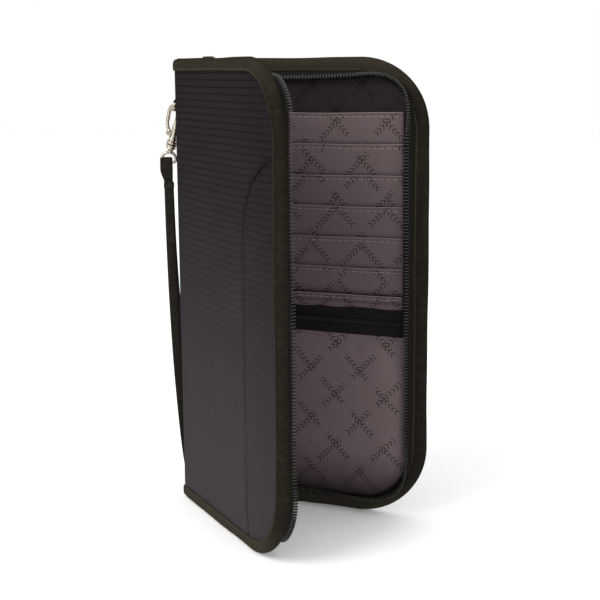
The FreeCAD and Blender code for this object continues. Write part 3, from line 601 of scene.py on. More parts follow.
# the shell's two colours are painted shade at the top and painted light at the foot
SHELL_CLOTH = ripstop("ripstop_shell", (0.0152, 0.0134, 0.0152), (0.0445, 0.0395, 0.0435))
BINDING_CLOTH = grosgrain("grosgrain_binding", (0.0158, 0.0137, 0.0098), 0.9, EDGE_RUN)
WEBBING = grosgrain("strap_webbing", (0.0210, 0.0185, 0.0148), 1.1)
LINING_CLOTH = printed_lining("printed_lining", (0.094, 0.0715, 0.0735), (0.020, 0.012, 0.011))
POCKET_CLOTH = printed_lining("pocket_lining", (0.119, 0.0905, 0.0925), (0.022, 0.013, 0.012), 50.0)
TAPE_CLOTH = zip_cloth("zip_tape_cloth", (0.0135, 0.0125, 0.0115))
NYLON = coil_nylon("zip_teeth_nylon", (0.056, 0.055, 0.051), (0.005, 0.005, 0.005))
DARK_NYLON = speckled("pocket_teeth_nylon", (0.012, 0.012, 0.011), 0.5, Specular_IOR_Level=0.2)
# painted shade: a far darker copy of the printed lining for the inner linings, standing in for the shade
# they lie in
PAINTED_SHADE_LINING = printed_lining("painted_shade_lining", (0.0148, 0.0117, 0.0142), (0.005, 0.0035, 0.0035))
ENAMEL = speckled("slider_enamel", (0.035, 0.034, 0.033), 0.38, metallic=0.6)
NICKEL = speckled("warm_nickel", (0.40, 0.365, 0.30), 0.26, metallic=1.0, depth=0.01)
PALE_THREAD = speckled("pale_thread", (0.24, 0.19, 0.19), 0.6, depth=0.05, scale=4000.0)
DARK_THREAD = speckled("dark_thread", (0.03, 0.028, 0.024), 0.6, depth=0.05, scale=4000.0)
# painted highlight: a paler copy of the lining colour for the slots' folded lips
LIP_PAINTED_HIGHLIGHT = speckled("lip_painted_highlight", (0.19, 0.145, 0.15), 0.6, depth=0.05, scale=3000.0)
STIFFENER = speckled("stiffener_board", (0.03, 0.03, 0.03), 0.7)


def dress(obj, material):
    obj.data.materials.clear()
    obj.data.materials.append(material)
    return obj


def piece(obj, material, body=None, stands_for=()):
    """Finish a piece: its material, the CAD nodes it stands for and its body."""
    dress(obj, material)
    if stands_for:
        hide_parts(*stands_for)
    if body:
        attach(obj, body)
    return obj


def dashes(name, ends, radius, material, body):
    """A line of stitches, each a small rounded thread between two points."""
    starts, stops = np.array(ends).transpose(1, 0, 2)
    along = stops - starts
    half = np.linalg.norm(along, axis=1).mean() / 2 / MM
    along = unit(along)
    other = unit(np.cross(along, (0.001, 1.0, 0.001)))
    thin, blunt = radius * 0.3, half * 0.85
    shape, faces = ring_shape([(-half, thin, thin, 0), (-blunt, radius, radius, 0),
                               (blunt, radius, radius, 0), (half, thin, thin, 0)], 6)
    axes = np.stack([other, along, np.cross(other, along)], 1)
    piece(repeated(name, (starts + stops) / 2, axes, shape, faces), material, body)


def seam_row(name, first, last, point, body):
    """Row of pale stitches on a cover; point gives the row's place at each u."""
    ends = [(point(u), point(u + STITCH)) for u in np.arange(first, last, STITCH_PITCH)]
    dashes(name, ends, THREAD, PALE_THREAD, body)


# ---- camera

FOCAL_MM, SENSOR_MM = 75, 36
CAMERA_AT = Vector((0.26255, -0.54177, 0.22944))
CAMERA_TURN, CAMERA_PITCH, CAMERA_ROLL = 0.41417, 0.18315, -0.0077


def aim_camera():
    """Camera at the viewing angle, looking slightly down."""
    data = bpy.data.cameras.new("camera")
    data.lens, data.sensor_width = FOCAL_MM, SENSOR_MM
    scene.camera = bpy.data.objects.new("camera", data)
    scene.collection.objects.link(scene.camera)
    matrix = Matrix.Translation(CAMERA_AT)
    for angle, axis in ((CAMERA_TURN, "Z"), (math.pi / 2 - CAMERA_PITCH, "X"), (CAMERA_ROLL, "Z")):
        matrix = matrix @ Matrix.Rotation(angle, 4, axis)
    scene.camera.matrix_world = matrix


aim_camera()


# ---- wrist strap

# route of the loop, from the keeper down, round and back up to it
STRAP_ROUTE = [
    (-0.06827, 0.03885, 0.16823), (-0.06711, 0.03714, 0.13473), (-0.06523, 0.03725, 0.07903),
    (-0.06410, 0.04061, 0.03803), (-0.06377, 0.04397, 0.01693), (-0.06803, 0.05429, 0.00643),
    (-0.07495, 0.06761, 0.00753), (-0.08040, 0.07636, 0.01873), (-0.08261, 0.07687, 0.04223),
    (-0.08116, 0.06855, 0.08013), (-0.07621, 0.05530, 0.12113), (-0.07209, 0.04627, 0.14843),
    (-0.06994, 0.04192, 0.16823),
]
STRAP_WIDTH, STRAP_THICKNESS, STRAP_LENGTH = 5.0, 1.3, 0.350
KEEPER_END, KEEPER_SIDES, HEAD_BEND, HEAD_THICKNESS = 13.2, 28, 1.75, 1.15
RIBBON_SIDES = 20


def spline_points(route, resolution):
    """Points on the smooth curve that has the route as its control points."""
    data = bpy.data.curves.new("route", "CURVE")
    data.dimensions = "3D"
    data.resolution_u = resolution
    spline = data.splines.new("NURBS")
    spline.points.add(len(route) - 1)
    for point, place in zip(spline.points, route):
        point.co = (*place, 1)
    spline.order_u = 3
    spline.use_endpoint_u = True
    holder = bpy.data.objects.new("route", data)
    mesh = bpy.data.meshes.new_from_object(holder)
    points = np.array([v.co for v in mesh.vertices])
    bpy.data.objects.remove(holder)
    return points


def rounded_section(count, width, width_power, depth, depth_power):
    """Across and deep offsets round a flat section with rounded edges."""
    cosine, sine = np.cos(turns(count)), np.sin(turns(count))
    return (np.sign(cosine) * np.abs(cosine) ** width_power * width,
            np.sign(sine) * np.abs(sine) ** depth_power * depth)


def ribbon(name, points, across, width, thickness, rib_pitch, rib_height):
    """Flat webbing along points, with rounded edges and cross ribs. The width may be one value for
    each point."""
    distance = run_of(points) / MM
    fine = np.linspace(0, distance[-1], int(distance[-1] / rib_pitch * 4) + 1)
    widths = np.interp(fine, distance, np.zeros(len(points)) + width) / np.max(width)
    width = np.max(width)
    points = points_at(fine, distance, points)
    normal = unit(np.cross(across, unit(np.gradient(points, axis=0))))
    wide, thick = rounded_section(RIBBON_SIDES, width / 2, 0.45, thickness / 2, 0.6)
    swell = 1 + rib_height / thickness * np.cos(2 * math.pi * fine / rib_pitch)
    sections = (points[:, None] + (widths[:, None] * wide)[..., None] * MM * np.array(across)
                + (swell[:, None] * thick)[..., None] * MM * normal[:, None])
    girth = np.linspace(0, 2 * (width + thickness), RIBBON_SIDES, endpoint=False)
    return closed_grid(name, sections, fine[:, None], girth)


def make_strap():
    """Wrist loop, its doubled head round the eye's bar and the stitched keeper."""
    first, last = Vector(STRAP_ROUTE[0]), Vector(STRAP_ROUTE[-1])
    depth = (first - last).normalized()
    across = depth.cross(Vector((0, 0, -1))).normalized()
    line = spline_points(STRAP_ROUTE, 16)
    loop = ribbon("wrist_loop", line, across, STRAP_WIDTH, STRAP_THICKNESS, RIB_PITCH, RIB_HEIGHT)
    piece(loop, WEBBING, "swivel", ["wrist_strap"])

    # x is the depth through the doubled head, y goes to its left and z down from the eye
    strap = Place(np.array((first + last) / 2) + KEEPER_END * MM * UP, depth, -UP)
    # one leg, from the loop up to the eye: (down, depth, width, shift to the left)
    leg = np.array([(15.5, 0.8, 4.4, 0), (14, 0.8, 4.4, 0), (12, 0.85, 4.6, 0.1), (10.5, 0.95, 4.7, 0.2),
                    (9, 1.3, 5, 0.4), (7.5, 1.8, 5.7, 0.7), (5.5, 2, 6.4, 1), (3.5, 1.95, 6.6, 1.1)])
    turn = np.linspace(0, math.pi, 17)
    bend = np.stack(np.broadcast_arrays(-HEAD_BEND * np.sin(turn), HEAD_BEND * np.cos(turn), 6.5, 1.1), 1)
    down_mm, depth_mm, widths, shift = np.concatenate([leg, bend, leg[::-1] * (1, -1, 1, 1)]).T
    head_line = strap(np.stack([depth_mm, shift, down_mm], 1))
    head = ribbon("strap_doubled_head", head_line, across, widths, HEAD_THICKNESS, RIB_PITCH, RIB_HEIGHT)
    piece(head, WEBBING, "swivel", ["strap_head"])

    # the keeper's ends draw in: (height below its lower end, scale)
    levels = np.array([(-2.2, 0.86), (-2.0, 0.95), (-1.6, 1.0), (0.5, 1.0), (0.9, 0.97), (1.1, 0.90)])
    wide, deep = rounded_section(KEEPER_SIDES, 2.75, 0.4, 2.5, 0.5)
    rings = [np.stack(np.broadcast_arrays(scale * deep, -scale * wide, KEEPER_END + level), 1)
             for level, scale in levels]
    keeper = closed_grid("strap_keeper_band", strap(rings), np.linspace(0, 14, KEEPER_SIDES), levels[:, :1])
    piece(keeper, WEBBING, "swivel", ["strap_keeper"])
    ends = [[strap((side * 2.45, left + 0.3 * level, KEEPER_END + level)) for level in (-1.2, 0.2)]
            for side in (-1, 1) for left in (-1.3, 0, 1.3)]
    dashes("keeper_stitches", ends, THREAD, DARK_THREAD, "swivel")


make_strap()


# ---- edge binding

EDGE_RIB_PITCH, EDGE_RIB_HEIGHT, BINDING_MIDDLE = 0.9, 0.07, 4.0


def binding_profile():
    """Closed section of the folded tape round the edge: (inset, d) points."""
    outer = [(6.3, 3.6), (6.25, 4.15), (5.8, 4.4), (4.6, 4.52), (3.0, 4.48), (1.6, 4.22), (0.6, 3.5),
             (0.15, 2.6)]
    inner = [(0.15, 1.0), (0.6, 0.1), (1.6, -0.62), (3.0, -0.86), (4.6, -0.9), (6.2, -0.8), (6.9, -0.6),
             (7.0, -0.15)]
    return np.array(outer + inner + [(5.3, 0.4), (5.3, 3.2)])


def make_binding(side):
    """Grosgrain tape round one cover's three free sides, with its ribs."""
    points, normals, distance = edge_path(0.4, EDGE_RIB_PITCH / 4)
    profile = binding_profile()
    direction = unit(profile - (BINDING_MIDDLE, HALF_SHELL))
    rib = EDGE_RIB_HEIGHT * np.cos(2 * math.pi * distance / EDGE_RIB_PITCH)
    slow = 0.16 * np.sin(distance / 17.0) + 0.1 * np.sin(distance / 7.3 + 1)
    grown = profile + direction * (rib + slow)[:, None, None]
    grown[..., 0] = np.maximum(grown[..., 0], 0.02)
    u, v = np.moveaxis(points[:, None] + normals[:, None] * grown[..., :1], 2, 0)
    girth = run_of(profile)
    tape = closed_grid(side + "_edge_binding", SIDES[side]["plane"](u, v, grown[..., 1]),
                       distance[:, None], np.minimum(girth, girth[-3] - girth))
    piece(tape, BINDING_CLOTH, side + "_cover", [side + "_binding"])


for side in SIDES:
    make_binding(side)


# ---- simulation of soft panels

def two_grids(rows, left, right, columns):
    """A panel's fine grid of cover coordinates, whose rows run between two limits, and one with half
    as many rows and columns, which is simulated."""
    return [rows_to_grid(rows, left, right, columns), rows_to_grid(rows[::2], left, right, columns // 2)]


def rows_to_grid(rows, left, right, columns):
    """Cover coordinates of a panel whose rows run between two limits."""
    limits = np.array([(left(v), right(v)) for v in rows])
    u = limits[:, :1] + (limits[:, 1:] - limits[:, :1]) * np.linspace(0, 1, columns)
    return u, np.repeat(rows[:, None], columns, 1)


# a panel is simulated at ten times its size, for a fixed number of steps
CLOTH_SCALE, CLOTH_STEPS = 10, 18


def neighbours(values):
    """Mean of the four neighbours of each inner point of a grid."""
    return (values[:-2, 1:-1] + values[2:, 1:-1] + values[1:-1, :-2] + values[1:-1, 2:]) / 4


def puffed(plane, u, v, pinned, pressure, slack, cap, outward):
    """How far each point of a flat panel lifts when it is held at its pinned points, slightly too
    large for its frame, and pushed outward by its filling, in millimetres."""
    rest = plane(u, v, np.zeros_like(u)) * CLOTH_SCALE
    obj = faced(new_object("simulated", rest.reshape(-1, 3), quads(*u.shape)), plane, outward)
    obj.vertex_groups.new(name="held").add(np.flatnonzero(pinned).tolist(), 1.0, "REPLACE")
    cloth = obj.modifiers.new("cloth", "CLOTH")
    settings = cloth.settings
    settings.quality = 6
    settings.mass = 0.15
    settings.tension_stiffness = settings.compression_stiffness = 10
    settings.shear_stiffness = 5
    settings.bending_stiffness = 0.3
    settings.vertex_group_mass = "held"
    settings.use_pressure = True
    settings.uniform_pressure_force = pressure
    settings.shrink_min = -slack
    settings.effector_weights.gravity = 0
    cloth.collision_settings.use_collision = False
    cloth.point_cache.frame_end = 30
    for step in range(1, CLOTH_STEPS + 1):
        scene.frame_set(step)
    result = obj.evaluated_get(bpy.context.evaluated_depsgraph_get()).to_mesh()
    moved = np.zeros(u.size * 3)
    result.vertices.foreach_get("co", moved)
    bpy.data.objects.remove(obj)
    scene.frame_set(1)
    lift = ((moved.reshape(rest.shape) - rest) @ plane.out) / CLOTH_SCALE / MM * outward
    return np.clip(lift, -0.3, cap)


def finer(values, rows, columns):
    """Values of a coarse grid at a finer one's points, by straight lines in both directions."""
    for count in (columns, rows):
        old, new = np.linspace(0, 1, values.shape[1]), np.linspace(0, 1, count)
        values = np.array([np.interp(new, old, row) for row in values]).T
    return values


def soften(values, times):
    """Smooth a grid of values a little, keeping its edges."""
    for _ in range(times):
        values[1:-1, 1:-1] = (values[1:-1, 1:-1] + neighbours(values)) / 2
    return values


def lift_of(side, fine, coarse, pinned, outward, pressure, slack, cap, smoothing=2):
    """Lift of a panel's fine grid, from the simulation of its coarse one."""
    lift = puffed(SIDES[side]["plane"], *coarse, pinned, pressure, slack, cap, outward)
    return finer(soften(lift, smoothing), *fine[0].shape)


# ---- shells and linings

def fold_section(side, share, d):
    """Points of the round fold between a cover and the spine. share goes from the spine, 0, to the
    cover, 1, and d is the depth from the inner face."""
    info = SIDES[side]
    cover_out, spine_out = info["plane"].out, SPINE.out
    bend = math.acos(float(np.clip(np.dot(cover_out, spine_out), -1, 1)))
    angle, d = ((1 - share) * bend * info["turn"])[..., None], d[..., None]
    normal = np.cos(angle) * cover_out + np.sin(angle) * np.cross(UP, cover_out)
    fold = np.array(info["fold"]) / MM
    inner_centre = fold - (cover_out + spine_out) * (HALF_SHELL + INNER_FILLET) / (1 + math.cos(bend))
    outer = fold + normal * (HALF_SHELL + d - SHELL)
    inner = inner_centre + normal * (INNER_FILLET + np.minimum(d, 0))
    weight = np.clip(d / SHELL, 0, 1)
    return outer * weight + inner * (1 - weight)


def fillet_reach():
    """How far from the fold's axis the inner fillet starts, along the cover or the spine."""
    bend = math.acos(float(np.dot(BACK.out, SPINE.out)))
    return (HALF_SHELL + INNER_FILLET) * math.tan(bend / 2)


def wrapped(side, v, d, spine_columns=6, fold_columns=9):
    """Columns from the middle of the spine to the end of the fold, at each row's height and depth."""
    v, d = np.asarray(v, float), np.asarray(d, float)
    reach = fillet_reach() * (1 - np.clip(d / SHELL, 0, 1))
    half = SPINE_WIDTH / 2
    columns = []
    for share in np.linspace(0, 1, spine_columns, endpoint=False):
        along = half * (1 - share) + share * reach if side == "back" else half + share * (half - reach)
        columns.append(SPINE(along, v, d))
    for share in np.linspace(0, 1, fold_columns):
        place = fold_section(side, np.full_like(v, share), d)
        place[..., 2] = v
        columns.append(place * MM)
    return np.stack(columns, 1)


def wrapped_u(d, spine_columns=6, fold_columns=9):
    """Cloth coordinate of the wrapped columns, which goes on from the cover's u."""
    end = FOLD_U + fillet_reach() * (1 - min(max(d / SHELL, 0), 1))
    fold_length = 2.3 if d > HALF_SHELL else 3.6
    spine_length = SPINE_WIDTH / 2 - end + FOLD_U
    fold = end - fold_length * np.linspace(1, 0, fold_columns)
    spine = end - fold_length - spine_length * np.linspace(1, 0, spine_columns, endpoint=False)
    return np.concatenate([spine, fold])


def blend_over_fold(obj):
    """Bake the piece's placement into its mesh."""
    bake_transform(obj)


def cover_sheet(name, side, d, rows, cover_u, cover_v, lift, outward, thickness):
    """Sheet that covers a cover, its fold and half of the spine."""
    plane = SIDES[side]["plane"]
    left = wrapped(side, rows, np.full_like(rows, d))
    right = plane(cover_u[:, 1:], cover_v[:, 1:], (d + outward * lift)[:, 1:])
    x = np.concatenate([np.repeat(wrapped_u(d)[None], len(rows), 0), cover_u[:, 1:]], 1)
    obj = grid(name, np.concatenate([left, right], 1), x, rows[:, None])
    return thickened(faced(obj, plane, outward), thickness)


PANEL_INSET, ROW_STEP, SIM_STEP, LINING_INSET = 3.0, 1.4, 2.8, 5.5
SHELL_SHEET, LINING_SHEET, POCKET_SHEET = 0.5, 0.35, 0.4
# a panel is held this far past its binding and its fold, and its fullness grows over a fade
HELD_EDGE, HELD_FOLD, FADE = 1.5, 3, 4


def panel_grids(right, wide):
    """Rows and fine grid of a panel that starts at the fold, and the coarse grid that is simulated."""
    fine, coarse = (rows_to_grid(cover_rows(PANEL_INSET, step), lambda y: FOLD_U, right, int(wide / step))
                    for step in (ROW_STEP, SIM_STEP))
    return cover_rows(PANEL_INSET, ROW_STEP), fine, coarse


def sewn(u, v, seam=False):
    """Where a panel is sewn down: along its binding and, on the front cover, its seam."""
    held = inset_of(u, v) < BINDING_WIDTH + HELD_EDGE
    return held | (seam_distance(u, v) < 1.0) if seam else held


def edge_relief(u, v, with_seam):
    """How the shell dips into its stitch lines, with small puckers beside them."""
    inside = inset_of(u, v) - BINDING_WIDTH
    dip = 0.45 * np.exp(-(np.maximum(inside, 0) / 1.3) ** 2)
    pucker = 0.13 * np.exp(-(inside / 9.0) ** 2) * np.sin(u / 2.9 + 1.3 * np.sin(u / 7.0) + v / 11.0)
    relief = pucker - dip
    if with_seam:
        q = seam_distance(u, v)
        relief -= 0.9 * np.exp(-(q / 1.0) ** 2)
        relief += 0.16 * np.exp(-((q - 2.2) / 1.3) ** 2)
        relief += 0.07 * np.exp(-(q / 6.0) ** 2) * np.sin(v / 3.1 + np.sin(v / 9.0))
    return np.maximum(relief, -1.0)


def make_shell(side, right, wide, seam, nodes):
    """Padded outer fabric of a cover, round its fold and onto the spine."""
    rows, fine, coarse = panel_grids(right, wide)
    pinned = sewn(*coarse, seam) | (coarse[0] < FOLD_U + HELD_FOLD)
    lift = lift_of(side, fine, coarse, pinned, 1, pressure=1.2, slack=0.012, cap=1.6)
    lift = (lift + edge_relief(*fine, seam)) * np.clip((fine[0] - FOLD_U) / FADE, 0, 1)
    shell = cover_sheet(side + "_shell", side, SHELL, rows, *fine, lift, 1, SHELL_SHEET)
    piece(shell, SHELL_CLOTH, None, nodes)
    blend_over_fold(shell)


def panel_edge(v):
    """Right edge of a shell, under the binding."""
    return right_limit(v, PANEL_INSET)


def main_panel_edge(v):
    """Right edge of the front cover's main panel: the seam, and the cover's edge above it."""
    return min(seam_u(v), panel_edge(v)) if v < SEAM_V + SEAM_RADIUS else panel_edge(v)


def make_side_panel():
    """Padded fabric of the front cover past its seam."""
    rows = cover_rows(PANEL_INSET, ROW_STEP)
    rows = rows[rows <= SEAM_V + SEAM_RADIUS + 0.01]
    fine, coarse = two_grids(rows, lambda v: min(seam_u(v), panel_edge(v) - 0.2), panel_edge, 34)
    lift = lift_of("front", fine, coarse, sewn(*coarse, True), 1, pressure=1.0, slack=0.01, cap=1.2)
    u, v = fine
    points = FRONT(u, v, SHELL + lift + edge_relief(u, v, True))
    side_panel = thickened(faced(grid("front_side_shell", points, u + 0.7, v + 1.6), FRONT, 1), SHELL_SHEET)
    piece(side_panel, SHELL_CLOTH, "front_cover", ["front_side_panel"])


def make_lining(side):
    """Inner fabric of a cover, its fold and half of the spine."""
    rows = np.linspace(LINING_INSET, HEIGHT - LINING_INSET, 112)
    start = FOLD_U + fillet_reach()
    fine, coarse = two_grids(rows, lambda v: start, lambda v: right_limit(v, LINING_INSET), 60)
    u, v = coarse
    pinned = sewn(u, v) | (u < start + HELD_FOLD)
    if side == "back":
        pinned |= (u > SLOT_LEFT) & (u < SLOT_LEFT + SLOT_LENGTH) & (v < SLOT_TOP - 6)
    lift = lift_of(side, fine, coarse, pinned, -1, pressure=0.5, slack=0.008, cap=0.6)
    lift *= np.clip((fine[0] - start) / FADE, 0, 1)
    lining = cover_sheet(side + "_inner_lining", side, 0.0, rows, *fine, lift, -1, LINING_SHEET)
    stands_for = [side + "_lining"] + (["spine_lining"] if side == "back" else [])
    piece(lining, PAINTED_SHADE_LINING, None, stands_for)
    blend_over_fold(lining)


make_shell("back", panel_edge, WIDTH, False, ["back_outer_panel", "spine_fold_back", "spine_panel"])
make_shell("front", main_panel_edge, WIDTH * 0.8, True, ["front_main_panel", "spine_fold_front"])
make_side_panel()
for side in SIDES:
    make_lining(side)


def make_spine_binding(side, where):
    """Edge tape over the top or bottom of half of the spine and its fold."""
    profile = binding_profile()
    rows = []
    for inset, d in profile:
        v = HEIGHT - inset if where == "top" else inset
        row = wrapped(side, [v], [d], 14, 12)[0]
        rows.append(np.concatenate([row, SIDES[side]["plane"](1.2, v, d)[None]]))
    points = np.array(rows).transpose(1, 0, 2)
    tape = closed_grid("spine_binding_%s_%s" % (where, side), points, run_of(points[:, 3])[:, None] / MM,
                       run_of(profile))
    piece(tape, BINDING_CLOTH, None, ["spine_binding_" + where] if side == "back" else [])
    blend_over_fold(tape)


for side in SIDES:
    for where in ("top", "bottom"):
        make_spine_binding(side, where)


# ---- zips

def make_teeth(name, centres, along, upward, sizes, material, body, node):
    """Teeth of a nylon coil at their centres, a little wider at their tips. sizes holds their pitch,
    length and depth."""
    pitch, length, depth = sizes
    half, leg = length / 2, pitch * 0.17
    shape, faces = ring_shape([
        (-half, leg * 0.5, depth * 0.25, -0.16), (-half * 0.85, leg, depth * 0.45, -0.14),
        (0, leg * 0.92, depth * 0.5, 0), (half * 0.5, leg, depth * 0.5, 0.08),
        (half * 0.8, leg * 1.2, depth * 0.47, 0.14), (half, leg * 0.8, depth * 0.25, 0.16)], 8)
    axes = np.stack([along, upward, np.cross(along, upward)], 1)
    piece(repeated(name, centres, axes, shape, faces), material, body, [node])


def lean_of(side, distance, total):
    """Angle by which a zip half leans inward along its edge; it leans out where it rounds a corner."""
    low = WIDTH - BOTTOM_RADIUS - SIDES[side]["zip"] + BOTTOM_RADIUS * math.pi / 4
    high = total - (WIDTH - TOP_RADIUS - SIDES[side]["zip"]) - TOP_RADIUS * math.pi / 4
    base, swing = (25, 55) if side == "back" else (-2 + 24 * distance / total, 38)
    at_corners = np.exp(-((distance - low) / 19) ** 2) + np.exp(-((distance - high) / 19) ** 2)
    sway = 3 * np.sin(distance / 21.0 + 0.6) + 1.5 * np.sin(distance / 7.5)
    return np.radians(base - swing * at_corners + sway)[:, None]


def make_zip_half(side):
    """Tape and teeth of one half of the long zip, which lean in over the lining."""
    plane, start, reach = SIDES[side]["plane"], SIDES[side]["zip"], ZIP_REACH[side]
    points, normals, distance = edge_path(start, 0.9)
    total = distance[-1]
    # section of the tape: share of its height over the lining, or its depth below it, and side
    share, off = np.array([(-1.2, -0.3), (0, -0.3), (0.33, -0.36), (0.66, -0.4), (1, -0.5),
                           (1, 0.5), (0.66, 0.4), (0.33, 0.36), (0, 0.3), (-1.2, 0.3)]).T
    rise = np.where(share < 0, share, share * (reach - TAPE_BELOW_TIPS))
    lean = lean_of(side, distance, total)
    inset = TAPE_INSET + rise * np.sin(lean) + off * np.cos(lean)
    u, v = np.moveaxis(points[:, None] + normals[:, None] * inset[..., None], 2, 0)
    tape = closed_grid(side + "_zip_cloth", plane(u, v, off * np.sin(lean) - rise * np.cos(lean)),
                       distance[:, None], np.append(0, np.cumsum(np.abs(np.diff(share * 6)) + 0.2)))
    piece(tape, TAPE_CLOTH, side + "_cover", [side + "_zip_tape"])

    points, normals, distance = edge_path(start + 0.6, TOOTH_PITCH)
    lean = lean_of(side, distance, total)
    rise = reach - TOOTH_LENGTH / 2
    u, v = (points + normals * (TAPE_INSET + rise * np.sin(lean))).T
    inward = normals[:, :1] * plane.along + normals[:, 1:] * UP
    along = normals[:, 1:] * plane.along - normals[:, :1] * UP
    upward = inward * np.sin(lean) - plane.out * np.cos(lean)
    make_teeth(side + "_zip_teeth", plane(u, v, -rise * np.cos(lean[:, 0])), along, upward,
               (TOOTH_PITCH, TOOTH_LENGTH, TOOTH_DEPTH), NYLON, side + "_cover", side + "_zip_coil")


for side in SIDES:
    make_zip_half(side)


# ---- card slots

def slot_surface(top, u):
    """Height and standing-off of a slot's lip along its length."""
    middle = (u - SLOT_LEFT - SLOT_LENGTH / 2) / (SLOT_LENGTH / 2)
    sag = 0.55 * (1 - middle ** 2) + 0.12 * np.sin(u / 9.0 + top)
    stand = 0.32 * (1 - middle ** 4) + 0.1 * np.sin(u / 13.0 + top * 0.7)
    return top - sag, stand


def make_slot(number, top, tall):
    """Pocket panel with a folded lip, a dip along its stitch line and a stitched edge."""
    right = SLOT_LEFT + SLOT_LENGTH
    u = np.linspace(SLOT_LEFT - 0.6, right + 0.6, 50)[:, None]
    lip, stand = slot_surface(top, u)
    # (distance below the lip, d) round the panel: front face, lip, then the back of the fold
    below, d = np.array([
        (tall, -0.62), (tall * 0.7, -0.80), (tall * 0.4, -1.02), (3.4, -1.28), (2.5, -1.20), (1.9, -1.16),
        (1.3, -1.30), (0.7, -1.52), (0.2, -1.58), (-0.05, -1.42), (0.05, -1.20), (0.5, -1.05), (3.0, -0.88),
        (tall * 0.7, -0.45), (tall, -0.2)]).T
    height = lip - below
    points = BACK(u, height, d - stand * np.clip(1 - below / tall, 0, 1))
    panel = closed_grid("card_pocket_%d" % number, points, u, height + 5.3 * number)
    piece(panel, LINING_CLOTH, "back_cover", ["card_slot_%d" % number])
    edge = np.linspace(SLOT_LEFT - 0.4, right + 0.4, 50)
    lip, stand = slot_surface(top, edge)
    fold = tube("slot_lip_%d" % number, BACK(edge, lip - 0.12, -1.56 - stand), np.full(50, 0.2), around=8)
    piece(fold, LIP_PAINTED_HIGHLIGHT, "back_cover")

    def stitch_end(at):
        lip, stand = slot_surface(top, at)
        return BACK(at, lip - 1.95, -1.26 - stand * 0.9)

    seam_row("slot_stitches_%d" % number, SLOT_LEFT + 0.8, right - 3, stitch_end, "back_cover")


def make_slots():
    """Seven slots down the back cover. The last two show less of themselves."""
    tops = [SLOT_TOP - number * SLOT_PITCH for number in range(6)]
    tops.append(tops[-1] - LAST_STEP)
    heights = [SLOT_TALL] * 5 + [LAST_STEP - 0.4, tops[-1] - BAND_HIGH + 0.6]
    for number, (top, tall) in enumerate(zip(tops, heights), 1):
        make_slot(number, top, tall)


make_slots()


# ---- zipped band and pockets

def make_band():
    """Horizontal zip of the inner pocket: two tapes and the closed coil between them."""
    u = np.linspace(SLOT_LEFT - 0.8, SLOT_LEFT + SLOT_LENGTH + 0.8, 60)[:, None]
    wave = 0.12 * np.sin(u / 8.0) + 0.08 * np.sin(u / 3.7)
    for name, low, high in (("upper", BAND_MIDDLE + 0.9, BAND_HIGH + 0.3),
                            ("lower", BAND_LOW - 0.3, BAND_MIDDLE - 0.9)):
        rise = high - low
        up, d = np.array([(0, -0.1), (0.05, -0.55), (0.3, -0.75), (rise * 0.35, -0.82),
                          (rise * 0.65, -0.82), (rise - 0.3, -0.75), (rise - 0.05, -0.55), (rise, -0.1)]).T
        points = BACK(u, low + up, d + wave * (d < -0.5))
        tape = closed_grid("pocket_zip_cloth_" + name, points, u, low + up)
        piece(tape, TAPE_CLOTH, "back_cover", ["pocket_zip_tape_" + name])
    pitch = 1.15
    places = np.arange(SLOT_LEFT + 0.6, SLOT_LEFT + SLOT_LENGTH, pitch / 2)
    way = np.where(np.arange(len(places)) % 2 == 0, 1.0, -1.0)
    upward = -way[:, None] * UP
    make_teeth("pocket_zip_teeth", BACK(places, BAND_MIDDLE + way * 0.42, -1.1), 0 * upward + BACK.along,
               upward, (pitch, 2.1, 1.35), DARK_NYLON, "back_cover", "pocket_zip_coil")


def make_pocket(name, side, top, pressure, node):
    """Soft pocket panel held at its sides and bottom, fuller in the middle, with a hemmed top."""
    plane = SIDES[side]["plane"]
    inset, left, below_hem = POCKET_INSET - 0.6, SLOT_LEFT - 0.5, 4
    rows = np.append(np.linspace(inset, top - below_hem, 64), np.linspace(top - below_hem, top, 12)[1:])
    fine, coarse = two_grids(rows, lambda v: left, lambda v: right_limit(v, inset), 66)
    pinned = (inset_of(*coarse) < inset + 0.5) | (coarse[0] < left + 0.5) | (coarse[1] > top - 2.5)
    lift = lift_of(side, fine, coarse, pinned, -1, pressure, slack=0.02, cap=3.2, smoothing=3)
    u, v = fine
    below = top - v
    hem = 0.35 * np.exp(-(below / 0.8) ** 2) - 0.28 * np.exp(-((below - 2.6) / 0.6) ** 2)
    crease = 0.22 * np.exp(-(inset_of(u, v) - inset) / 9.0) * np.sin(u / 3.7 + v / 6.1)
    depth = -0.55 - lift - hem - np.where(below > below_hem, crease, 0)
    panel = thickened(faced(grid(name, plane(u, v, depth), u, v + 11.0), plane, -1), POCKET_SHEET)
    piece(panel, POCKET_CLOTH, side + "_cover", [node])
    seam_row(name + "_stitches", left + 1.5, WIDTH - inset - 4, lambda u: plane(u, top - 2.6, -0.62),
             side + "_cover")


make_band()
make_pocket("lower_pocket", "back", POCKET_TOP, 0.9, "lower_pocket_panel")
make_pocket("passport_sleeve", "front", PASSPORT_TOP, 0.7, "passport_pocket")


# ---- tab on the spine

def make_tab():
    """Webbing tab sewn to the spine, with a tunnel for the ring's bar."""
    low, high = TAB_V - 12, TAB_V + 5
    v = np.linspace(low, high, 60)
    ridge = np.exp(-((v - TAB_V) / 2.3) ** 4)
    centre = SPINE(np.full_like(v, TAB_ALONG), v, SHELL + 0.6 + 2.75 * ridge)
    tab = ribbon("hook_tab", centre, SPINE.along, 7, 0.9, RIB_PITCH, RIB_HEIGHT)
    piece(tab, WEBBING, "spine", ["strap_tab"])
    ends = [[SPINE(TAB_ALONG + place + half, height, SHELL + 1.12) for half in (-0.8, 0.8)]
            for height in (low + 1.6, low + 6.2, high - 1.2) for place in (-2.4, 0.0, 2.4)]
    dashes("tab_stitches", ends, 0.16, DARK_THREAD, "spine")


make_tab()


